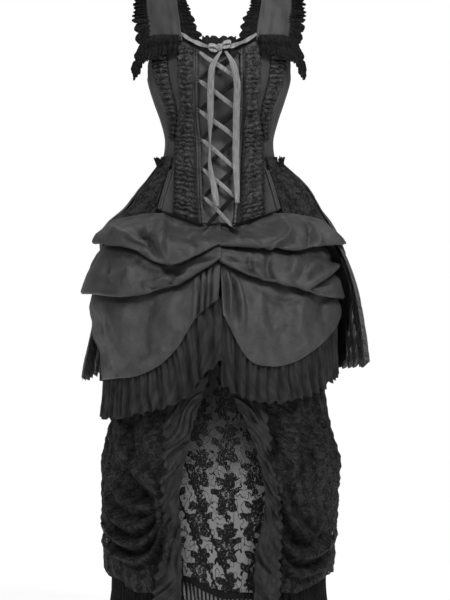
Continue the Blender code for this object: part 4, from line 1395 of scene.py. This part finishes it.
def swag_upper(side, u, v):
    way = SWAGS[label_of(side)]
    start, lifted = front_edge(side, u)
    angle = mix(start, POUF_END, u)
    top = read(SWAG_TOP, "height", angle)
    fold = read(way, "fold_one", angle)
    height, out = rolled(v, top, fold, lambda t: 0.016 * t, 0.008)
    release = mix(read(FRONT_HEM, "height", angle) - 0.005, top, ease(44, 54, angle))
    freed = ease(0.0, 0.040, release - height)
    under_torso = sizes(TORSO, height, -0.0105)[0]
    over_hip = hip_halves(angle, height, 0.0060)
    held = [mix(a, b, ease(40, 51, angle)) for a, b in zip(under_torso, over_hip)]
    loose = [np.maximum(a, b + 0.002) for a, b in zip(sizes(POUF, height)[0], over_hip)]
    halves = [mix(a, b + out, freed) + lifted for a, b in zip(held, loose)]
    return place(halves, 2.2, side * angle, height)


def swag_middle(side, u, v):
    way = SWAGS[label_of(side)]
    start, lifted = front_edge(side, u)
    angle = mix(start, POUF_END, u)
    top = read(way, "fold_one", angle) + 0.018
    fold = read(way, "fold_two", angle)
    height, out = rolled(v, top, fold, lambda t: mix(-0.016, 0.012, t), 0.004)
    return ring(POUF, side * angle, height, out + lifted)


def swag_lower(side, u, v):
    way = SWAGS[label_of(side)]
    start, lifted = front_edge(side, u)
    angle = mix(start + 1.2 * v, POUF_END, u)
    height = mix(read(way, "fold_two", angle) + 0.020, read(way, "hem", angle), v)
    out = mix(-0.018, 0.0, v) + 0.010 * np.sin(np.pi * v)
    return ring(POUF, side * angle, height, out + lifted)


def draped(lines, seed, free):
    """A tier's relief: its listed creases, and a slight unevenness all over. free gives how much
    the cloth may move at v, so that it stays under what covers it."""

    def relief(side, u, v, points):
        hand_placed = TAFFETA_DEPTH * creases(points, lines[label_of(side)], TAFFETA_CRISPNESS)
        uneven = 0.0016 * wander(points, 0.075, seed + side) + 0.0006 * wander(points, 0.022, seed)
        return (hand_placed + uneven) * free(v)

    return relief


pair(
    "swag_upper", swag_upper, 120, 58, TAFFETA_WALL, taffeta, "black_taffeta",
    relief=draped(UPPER_CREASES, 111, lambda v: ease(0.10, 0.38, v) * ease(1.0, 0.80, v)),
    held="draped", on=["hip_basque", "bodice_front"],
)
pair(
    "swag_middle", swag_middle, 120, 50, TAFFETA_WALL, taffeta, "black_taffeta",
    relief=draped(MIDDLE_CREASES, 121, lambda v: ease(0.12, 0.36, v) * ease(1.0, 0.80, v)),
    held="draped", on=["swag_upper"],
)
pair(
    "swag_lower", swag_lower, 112, 56, TAFFETA_WALL, taffeta, "black_taffeta",
    relief=draped(LOWER_CREASES, 131, lambda v: ease(0.08, 0.28, v) * ease(1.08, 0.90, v)),
    held="draped", on=["swag_middle"],
)

# ---------------------------------------------------------------- the swags' pleated frills
# A frill of black organza, gathered into the seam of each lower swag. Its folds are close at the
# seam and open out toward a slightly uneven hem.

FRILL_RUN = 0.40
FRILL_LAP = {"left": 1.6, "right": -0.6}  # degrees past the centre: the left frill laps over
FRILL_FAN = 6.0  # degrees that the frill's hem leans out where its seam runs at 45 degrees
DEGREE_RUN = 0.0040  # how far one degree goes round the poufs
tulle, shader, x, y = fabric("Black organza", 0.55, 0.25, 0.04)
voile = net_threads(x, y, 0.0016)
haze = x.noise(y, 0.02, 2.0, 3.0)
dye(shader, haze.rise(0.3, 0.7), 0.011, 0.036)
emboss(shader, voile * 0.3 + haze, 0.0012)


def frill_folds(run, pitch, depth, seed):
    """Gathers along a seam run long, small where it is sewn at v 0 and deeper at the free edge."""

    def relief(u, v, points):
        along = u * run + 0.004 * v * wander(points, 0.06, seed)
        sewn_ends = ease(0.0, 0.02, u) * ease(1.0, 0.98, u)
        broad = gathers(along, pitch, seed)
        fine = gathers(along, pitch * 0.42, seed + 1)
        return depth * sewn_ends * ((0.22 + 0.78 * v) * broad + (0.36 - 0.20 * v) * fine)

    return relief


def swag_frill(side, u, v):
    way = SWAGS[label_of(side)]
    angle = mix(SWAG_START - FRILL_LAP[label_of(side)], POUF_END, u)
    steepness = (read(way, "hem", angle + 1) - read(way, "hem", angle - 1)) / (2 * DEGREE_RUN)
    fanned = FRILL_FAN * steepness * ease(0.05, 0.40, u) * ease(1.0, 0.85, u)
    hem = read(way, "frill", angle) + 0.0045 * gathers(u * FRILL_RUN, 0.024, 141 + side)
    height = mix(read(way, "hem", angle) + 0.006, hem, v)
    return ring(POUF, side * (angle + fanned * v), height, mix(-0.0065, 0.001, v))


def side_frill_folds(run, pitch, depth, seed):
    return lambda side, u, v, p: frill_folds(run, pitch, depth, seed + side)(u, v, p)


pair(
    "swag_frill", swag_frill, 250, 18, LACE_WALL, tulle, "black_tulle",
    relief=side_frill_folds(FRILL_RUN, 0.0290, 0.0115, 141), held="gathered", on=["swag_lower"],
)

# ---------------------------------------------------------------- the bustle behind
# A big taffeta puff over the seat, an apron under it with its own frill, and a wide flounce of
# stiff pleated tulle that shows past the hips from the front. All hang from the waist.

BACK_START = 88.4
TULLE_START = 79.0  # the tulle flounce comes a little further forward on the +X side
BUSTLE = table(
    SECTION,
    (-0.040, 0.128, 0.130, 0.086, 0.096, 2.2),
    (-0.090, 0.162, 0.182, 0.080, 0.154, 2.2),
    (-0.120, 0.182, 0.204, 0.080, 0.200, 2.2),
    (-0.150, 0.203, 0.219, 0.100, 0.240, 2.2),
    (-0.180, 0.238, 0.238, 0.130, 0.268, 2.2),
    (-0.240, 0.254, 0.272, 0.166, 0.300, 2.2),
    (-0.300, 0.260, 0.290, 0.190, 0.318, 2.2),
    (-0.400, 0.264, 0.300, 0.210, 0.325, 2.2),
    (-0.520, 0.276, 0.300, 0.213, 0.320, 2.2),
    (-0.650, 0.280, 0.290, 0.220, 0.325, 2.2),
)
BACK_EDGES = table(
    "angle puff apron frill flounce",
    (80, -0.236, -0.405, -0.475, -0.492),
    (110, -0.254, -0.440, -0.515, -0.502),
    (140, -0.272, -0.515, -0.605, -0.512),
    (180, -0.285, -0.545, -0.640, -0.520),
    (240, -0.262, -0.540, -0.620, -0.520),
    (280, -0.232, -0.530, -0.610, -0.532),
)
BACK_PUFF_TOP = -0.046
BACK_RUN = 0.95  # how far a seam runs round the bustle from hip to hip
# Painted light: the black tulle is given a light grey colour, with lighter fine strands, so that the
# flounce looks lit where the swags above it shade it.
sheer_tulle, shader, x, y = fabric("Black pleated tulle, painted light", 0.65, 0.2, 0.03)
mesh = net_threads(x, y, 0.0022)
strands = x.noise(y, 0.0030, 12.0)
dye(shader, strands.rise(0.3, 0.7), 0.060, 0.170)
emboss(shader, mesh * 0.4 + strands, 0.0010)
solid = mesh * 0.20 + strands.rise(0.25, 0.60) * 0.36 + 0.56
solid.feed(shader.inputs["Alpha"], solid)


def back_angle(u):
    return mix(BACK_START, 360 - BACK_START, u)


def back_puff(u, v):
    angle = back_angle(u)
    fold = read(BACK_EDGES, "puff", angle)
    height, out = rolled(v, BACK_PUFF_TOP, fold, lambda t: 0.004 + 0.022 * t, 0.012)
    return ring(BUSTLE, angle, height, out * (0.25 + 0.75 * ease(0, 0.30, u * (1 - u) * 2)))


def puff_folds(u, v, points):
    """Pleats from the waist seam that open into broad soft folds over the seat."""
    along = u * BACK_RUN + 0.012 * wander(points, 0.14, 151)
    inside = ease(0.0, 0.10, u) * ease(1.0, 0.90, u)
    close = 0.0030 * gathers(along, 0.016, 153) * ease(0.55, 0.0, v)
    broad = 0.0075 * gathers(along, 0.062, 155) * ease(0.05, 0.5, v) * ease(1.0, 0.82, v)
    return inside * (close + broad + 0.003 * wander(points, 0.10, 157) * ease(1.0, 0.85, v))


def back_apron(u, v):
    angle = back_angle(u)
    top = read(BACK_EDGES, "puff", angle) + 0.030
    height = mix(top, read(BACK_EDGES, "apron", angle), v)
    return ring(BUSTLE, angle, height, -0.010 + 0.006 * np.sin(np.pi * v))


def back_frill(u, v):
    angle = back_angle(u)
    hem = read(BACK_EDGES, "frill", angle) + 0.005 * gathers(u * BACK_RUN, 0.026, 163)
    height = mix(read(BACK_EDGES, "apron", angle) + 0.010, hem, v)
    return ring(BUSTLE, angle, height, -0.018)


def tulle_flounce(u, v):
    angle = mix(TULLE_START, 360 - BACK_START, u)
    hem = read(BACK_EDGES, "flounce", angle) + 0.007 * gathers(u * BACK_RUN, 0.030, 167)
    height = mix(read(BACK_EDGES, "puff", angle) + 0.018, hem, v)
    return ring(BUSTLE, angle, height, mix(-0.001, 0.028, v))


cloth(
    "back_puff", back_puff, 140, 40, TAFFETA_WALL, taffeta, "black_taffeta",
    relief=puff_folds, held="draped", on=["bodice_back_left", "bodice_back_right"],
)
cloth(
    "back_apron", back_apron, 150, 30, TAFFETA_WALL, taffeta, "black_taffeta",
    relief=lambda u, v, p: 0.002 * wander(p, 0.09, 159) * ease(0, 0.2, v) - 0.001,
    held="hung", on=["back_puff"],
)
cloth(
    "back_frill", back_frill, 420, 12, LACE_WALL, tulle, "black_tulle",
    relief=frill_folds(BACK_RUN, 0.026, 0.0058, 163), held="gathered", on=["back_apron"],
)
cloth(
    "tulle_flounce", tulle_flounce, 400, 14, LACE_WALL, sheer_tulle, "black_tulle",
    relief=frill_folds(BACK_RUN, 0.030, 0.0085, 167), held="gathered", on=["back_puff"],
)

# ---------------------------------------------------------------- the lace overskirt
# Floral lace over black cloth, open down the front. It is drawn up once on each side of the
# opening and sewn there, so that folds fan out from the stitches, a deep hollow lies above them
# and the cloth below hangs in U-shaped folds.

SKIRT_TOP = -0.165
SKIRT_SIDE_SEAM = 95.0
SEAM_LAP = 0.6  # degrees the front pieces lap over the back ones in a side seam
RUCHE_ANGLE = 30.0
RUCHE_HEIGHT = 0.820
SKIRT = table(
    SECTION,
    (-0.150, 0.142, 0.142, 0.086, 0.105, 2.1),
    (-0.200, 0.158, 0.158, 0.096, 0.150, 2.1),
    (-0.300, 0.195, 0.195, 0.130, 0.215, 2.1),
    (-0.400, 0.212, 0.212, 0.152, 0.25, 2.1),
    (-0.500, 0.225, 0.227, 0.170, 0.27, 2.1),
    (-0.560, 0.232, 0.234, 0.178, 0.275, 2.1),
    (-0.620, 0.241, 0.244, 0.187, 0.285, 2.1),
    (-0.700, 0.260, 0.268, 0.203, 0.30, 2.1),
    (-0.800, 0.258, 0.262, 0.212, 0.315, 2.1),
    (-0.900, 0.252, 0.252, 0.216, 0.33, 2.1),
    (-1.000, 0.250, 0.248, 0.222, 0.345, 2.1),
    (-1.090, 0.264, 0.262, 0.236, 0.365, 2.1),
)
OPENING = {
    "left": table(
        "height inner outer",
        (-0.370, 0.010, 0.055),
        (-0.535, 0.026, 0.080),
        (-0.600, 0.046, 0.110),
        (-0.700, 0.070, 0.114),
        (-0.777, 0.082, 0.120),
        (-0.865, 0.077, 0.110),
        (-0.960, 0.077, 0.132),
        (-1.050, 0.080, 0.136),
    ),
    "right": table(
        "height inner outer",
        (-0.370, 0.010, 0.060),
        (-0.535, 0.018, 0.085),
        (-0.600, 0.048, 0.099),
        (-0.700, 0.083, 0.112),
        (-0.777, 0.095, 0.124),
        (-0.836, 0.088, 0.130),
        (-0.887, 0.077, 0.128),
        (-0.970, 0.072, 0.126),
        (-1.050, 0.074, 0.126),
    ),
}
OVERSKIRT_HEM = table(
    "angle height",
    (-180, -0.985),
    (-120, -0.975),
    (-70, -0.955),
    (-40, -0.985),
    (-18, -0.975),
    (18, -0.975),
    (40, -0.985),
    (70, -0.955),
    (120, -0.975),
    (180, -0.985),
)
SKIRT_CRISPNESS = 1.3
SKIRT_DEPTH = 1.5
SKIRT_CREASES = {
    "left": table(
        CREASE,
        (-0.196, -0.600, -0.190, -0.700, 0.004, 0.011, -0.0130),
        (-0.214, -0.606, -0.210, -0.700, -0.002, 0.012, 0.0070),
        (-0.190, -0.700, -0.126, -0.776, 0.008, 0.014, 0.0140),
        (-0.206, -0.716, -0.150, -0.780, 0.014, 0.022, -0.0230),
        (-0.240, -0.730, -0.140, -0.800, 0.026, 0.012, 0.0080),
        (-0.244, -0.762, -0.136, -0.812, 0.034, 0.010, -0.0080),
        (-0.246, -0.790, -0.132, -0.816, 0.040, 0.011, 0.0110),
        (-0.246, -0.822, -0.130, -0.822, 0.042, 0.009, -0.0100),
        (-0.246, -0.850, -0.126, -0.826, 0.044, 0.011, 0.0120),
        (-0.242, -0.878, -0.124, -0.834, 0.044, 0.009, -0.0110),
        (-0.236, -0.900, -0.122, -0.846, 0.042, 0.011, 0.0120),
        (-0.206, -0.920, -0.124, -0.868, 0.030, 0.009, -0.0080),
        (-0.128, -0.790, -0.140, -0.900, -0.006, 0.008, 0.0090),
        (-0.170, -0.940, -0.176, -0.985, 0.002, 0.010, 0.0060),
        (-0.210, -0.935, -0.214, -0.975, 0.002, 0.012, -0.0060),
        (-0.160, -0.610, -0.136, -0.730, 0.004, 0.012, 0.0070),
    ),
    "right": table(
        CREASE,
        (0.116, -0.610, 0.122, -0.716, -0.003, 0.016, -0.0180),
        (0.140, -0.600, 0.140, -0.720, 0.002, 0.010, 0.0050),
        (0.166, -0.590, 0.160, -0.730, 0.003, 0.012, 0.0150),
        (0.186, -0.600, 0.182, -0.750, -0.002, 0.010, -0.0090),
        (0.206, -0.580, 0.206, -0.740, 0.002, 0.009, -0.0110),
        (0.224, -0.590, 0.226, -0.740, -0.002, 0.012, 0.0080),
        (0.106, -0.706, 0.184, -0.884, 0.020, 0.010, -0.0150),
        (0.122, -0.706, 0.204, -0.872, 0.022, 0.012, 0.0120),
        (0.146, -0.730, 0.222, -0.860, 0.020, 0.010, -0.0080),
        (0.170, -0.750, 0.236, -0.846, 0.014, 0.012, 0.0090),
        (0.130, -0.850, 0.240, -0.862, 0.024, 0.010, -0.0100),
        (0.130, -0.860, 0.240, -0.884, 0.032, 0.011, 0.0120),
        (0.128, -0.872, 0.238, -0.908, 0.036, 0.010, -0.0110),
        (0.126, -0.888, 0.230, -0.930, 0.034, 0.011, 0.0110),
        (0.124, -0.906, 0.216, -0.948, 0.026, 0.009, -0.0080),
        (0.160, -0.960, 0.164, -0.990, 0.001, 0.010, 0.0060),
    ),
}
skirt_lace = lace_over("Overskirt lace", 0.0026, 0.066, 0.0018, 0.6, free_edge=0.232)


def front_opening(side, height, moved):
    way = OPENING[label_of(side)]
    return np.abs(angle_of(SKIRT, side, read(way, "inner", height) + moved, height))


def drape(angle, height):
    """How far the overskirt stands out: drawn in where it is ruched, full below and beside it."""
    below = ease(0.70, 0.88, -height) * ease(1.0, 0.93, -height)
    full = below * np.sin(np.pi * np.clip((angle - RUCHE_ANGLE) / 62, 0, 1))
    drawn = np.exp(-(((angle - RUCHE_ANGLE) / 7) ** 2) - ((height + RUCHE_HEIGHT) / 0.11) ** 2)
    return 0.014 * full - 0.006 * drawn


def overskirt(side, u, v):
    height = mix(SKIRT_TOP, -0.96, v)
    angle = mix(front_opening(side, height, 0.012), SKIRT_SIDE_SEAM + SEAM_LAP, u)
    height = mix(SKIRT_TOP, read(OVERSKIRT_HEM, "height", side * angle), v)
    return ring(SKIRT, side * angle, height, drape(angle, height))


def overskirt_back(side, u, v):
    angle = mix(SKIRT_SIDE_SEAM + SEAM_TRIM, 180 - SEAM_TRIM, u)
    height = mix(SKIRT_TOP, read(OVERSKIRT_HEM, "height", side * angle), v)
    return ring(SKIRT, side * angle, height)


def rough_lace(points):
    return 0.0016 * wander(points, 0.030, 175) + 0.0011 * wander(points, 0.014, 177)


def skirt_folds(side, u, v, points):
    """The listed creases, soft folds down the whole length and a rough lace surface."""
    shown = ease(0.45, 0.58, v)
    around = round_angle(points) / RADIAN * 0.25
    hanging = 0.0045 * gathers(around + 0.006 * wander(points, 0.2, 171), 0.042, 173 + side)
    hanging = hanging * ease(0.10, 0.40, v) * (0.35 + 0.65 * ease(0.25, 0.75, u))
    drawn = SKIRT_DEPTH * creases(points, SKIRT_CREASES[label_of(side)], SKIRT_CRISPNESS)
    return drawn * shown + hanging * (1 - 0.6 * shown) + rough_lace(points)


def back_skirt_folds(side, u, v, points):
    """Long folds that fall from under the bustle, deeper toward the hem, with a rough surface."""
    around = round_angle(points) / RADIAN * 0.30
    falling = gathers(around + 0.010 * wander(points, 0.25, 181), 0.055, 183 + side)
    cross = ease(0.0, 0.06, u) * ease(1.0, 0.94, u)
    return 0.0085 * falling * (0.3 + 0.7 * v) * cross + rough_lace(points)


pair(
    "overskirt", overskirt, 74, 170, LACE_WALL, skirt_lace, "black_lace",
    relief=skirt_folds, held="draped", on=["swag_lower"],
)
pair(
    "overskirt_back", overskirt_back, 56, 90, LACE_WALL, skirt_lace, "black_lace",
    relief=back_skirt_folds, held="hung", on=["back_puff"],
)

# ---------------------------------------------------------------- the jabots
# A gathered taffeta frill down each edge of the overskirt's opening. Its folds slant down from
# the stitched inner edge and it is pulled in where the overskirt is ruched.

JABOT_OUT = 0.011
JABOT_BOTTOM = -1.030
JABOT_RUN = 0.61
dull_taffeta, shader, x, y = fabric("Jabot taffeta", 0.45, 0.3, 0.03)
crumple = x.noise(y, 0.016, 1.8, 3.0)
dye(shader, crumple.rise(0.3, 0.7), 0.004, 0.017)
emboss(shader, crumple + (y * 7000.0).sine() * 0.04, 0.0018)


def jabot(side, u, v):
    way = OPENING[label_of(side)]
    height = mix(-0.420, JABOT_BOTTOM, v)
    edge = 0.0040 * gathers(v * JABOT_RUN - 0.060 * u, 0.020, 195 + side)
    edge = edge + 0.0030 * gathers(v * JABOT_RUN, 0.051, 198 + side)
    across = mix(read(way, "inner", height) - 0.3 * edge, read(way, "outer", height) + edge, u)
    return ring(SKIRT, angle_of(SKIRT, side, across, height), height, JABOT_OUT)


def jabot_folds(side, u, v, points):
    """Slanting folds: they start close at the stitched edge and fall as they run outward."""
    along = v * JABOT_RUN - 0.095 * u**1.2 + 0.020 * wander(points, 0.10, 193)
    broad = gathers(along, 0.044, 195 + side) + 0.55 * gathers(along, 0.027, 201 + side)
    fine = 0.30 * gathers(along, 0.0150, 197 + side)
    return 0.0056 * (broad + fine * (1.0 - 0.5 * u)) * (0.7 + 0.6 * wander(points, 0.06, 199))


pair(
    "jabot", jabot, 26, 230, TAFFETA_WALL, dull_taffeta, "black_taffeta",
    relief=jabot_folds, held="gathered", on=["overskirt"],
)

# ---------------------------------------------------------------- the sheer front panel
# One layer of grey net with black flowers, leaves and stems worked on it, seen through the
# opening, with two slanting scalloped seams worked across it. A narrow border of heavier lace
# finishes its hem over a pleated ruffle.

PANEL_UNDER = -0.022
PANEL_HALF = 0.120
BUTT_GAP = 0.0005
BORDER_DEPTH = 0.014
FRONT_RUFFLE_BOTTOM = -1.062
PANEL_HEM = table(
    "x height",
    (-0.130, -0.944),
    (-0.073, -0.948),
    (-0.035, -0.964),
    (-0.010, -0.976),
    (0.060, -0.982),
    (0.130, -0.984),
)
net_lace, shader, x, y = fabric("Sheer panel lace", 0.7, 0.15, 0.03)
thread, cord = lace_threads(x, y, 1.0, 0.25)
mesh = net_threads(x, y, 0.0024)
sideways, _, height = object_place(x.tree)
shadow = height.rise(-0.80, -0.62) * 0.85
for start_x, start_z, slope in ((-0.0726, -0.708, 0.373), (-0.088, -0.777, 0.423)):
    off_line = sideways + (height - start_z) * slope - start_x
    cord = cord.either(abs(off_line + (height * 520.0).sine() * 0.0012).rise(0.0032, 0.0018))
dye(shader, (thread * 0.85).either(cord).rise(0.1, 0.7).either(shadow), 0.270, 0.004)
emboss(shader, thread + cord * 0.6 + mesh * 0.1, 0.0010)
solid = (mesh * 0.35 + 0.55).either(thread).either(cord).either(shadow)
solid.feed(shader.inputs["Alpha"], solid)
border_lace, shader, x, y = fabric("Border lace", 0.7, 0.15, 0.03)
grain = x.noise(y, 0.003, 1.0, 3.0)
dye(shader, grain.rise(0.35, 0.7), 0.002, 0.009)
emboss(shader, grain, 0.0018)
stripe_tulle, shader, x, y = fabric("Front ruffle tulle", 0.65, 0.15, 0.03)
mesh = net_threads(x, y, 0.0024)
pleat = ((x * (2 * np.pi / 0.0110)).sine() + x.noise(y, 0.02) - 0.5).rise(0.25, -0.15)
dye(shader, pleat, 0.240, 0.008)
solid = (mesh * 0.3 + 0.45).either(pleat)
solid.feed(shader.inputs["Alpha"], solid)


def panel_point(u, height, out=0.0):
    across = mix(-PANEL_HALF, PANEL_HALF, u)
    return ring(SKIRT, signed_angle(SKIRT, across, height), height, PANEL_UNDER + out)


def panel_hem(u):
    return read(PANEL_HEM, "height", mix(-PANEL_HALF, PANEL_HALF, u))


def front_panel(u, v):
    return panel_point(u, mix(SKIRT_TOP, panel_hem(u), v))


def front_border(u, v):
    wave = 0.0022 * np.abs(np.sin(np.pi * u * 2 * PANEL_HALF / 0.012)) - 0.001
    return panel_point(u, panel_hem(u) - BUTT_GAP - (BORDER_DEPTH - wave * (2 * v - 1)) * v)


def front_ruffle(u, v):
    height = mix(panel_hem(u) - 0.5 * BORDER_DEPTH, FRONT_RUFFLE_BOTTOM, v)
    return panel_point(u, height, -0.004)


cloth(
    "front_panel", front_panel, 36, 80, LACE_WALL, net_lace, "black_lace",
    relief=lambda u, v, p: 0.0022 * wander(p * (1, 1, 0.4), 0.07, 201) * ease(0.3, 0.6, v),
    held="hung", on=["overskirt_left", "overskirt_right"],
)
cloth(
    "front_border", front_border, 160, 6, LACE_WALL, border_lace, "black_lace",
    relief=lambda u, v, p: 0.0015 * gathers(u * 0.24, 0.012, 203), held="gathered", on=["front_panel"],
)
cloth(
    "front_ruffle", front_ruffle, 220, 14, LACE_WALL, stripe_tulle, "black_tulle",
    relief=lambda u, v, p: 0.0030 * np.sin(2 * np.pi * u * 2 * PANEL_HALF / 0.011) * (0.4 + 0.6 * v),
    held="gathered", on=["front_border"],
)

# ---------------------------------------------------------------- the hem flounces
# A deep knife-pleated flounce of tulle under the overskirt's hem, on the two front halves and
# round the back, which brings the dress down to the floor.

FLOUNCE_TOP = -0.925
FLOUNCE_BOTTOM = -1.085
FLOUNCE_UNDER = -0.012
FLOUNCE_RUN = 0.42  # how far each front half's seam runs


def hem_flounce(side, u, v):
    bottom = FLOUNCE_BOTTOM + 0.003 * gathers(u * FLOUNCE_RUN, 0.020, 213 + side)
    height = mix(FLOUNCE_TOP, bottom, v)
    angle = mix(front_opening(side, height, 0.004), SKIRT_SIDE_SEAM + SEAM_LAP, u)
    return ring(SKIRT, side * angle, height, FLOUNCE_UNDER)


def hem_flounce_back(u, v):
    height = mix(FLOUNCE_TOP, FLOUNCE_BOTTOM + 0.003 * gathers(u * BACK_RUN, 0.020, 217), v)
    angle = mix(SKIRT_SIDE_SEAM + SEAM_TRIM, 360 - SKIRT_SIDE_SEAM - SEAM_TRIM, u)
    return ring(SKIRT, angle, height, FLOUNCE_UNDER)


hem_tulle, shader, x, y = fabric("Black hem tulle", 0.6, 0.15, 0.0)
dye(shader, x.noise(y, 0.02, 2.0, 3.0).rise(0.3, 0.7), 0.003, 0.010)
emboss(shader, net_threads(x, y, 0.0016) * 0.3 + x.noise(y, 0.02, 2.0, 3.0), 0.0012)
pair(
    "hem_flounce", hem_flounce, 230, 20, LACE_WALL, hem_tulle, "black_tulle",
    relief=side_frill_folds(FLOUNCE_RUN, 0.0165, 0.0046, 211), held="gathered", on=["overskirt"],
)
cloth(
    "hem_flounce_back", hem_flounce_back, 440, 12, LACE_WALL, hem_tulle, "black_tulle",
    relief=frill_folds(BACK_RUN, 0.019, 0.0046, 215), held="gathered",
    on=["overskirt_back_left", "overskirt_back_right"],
)
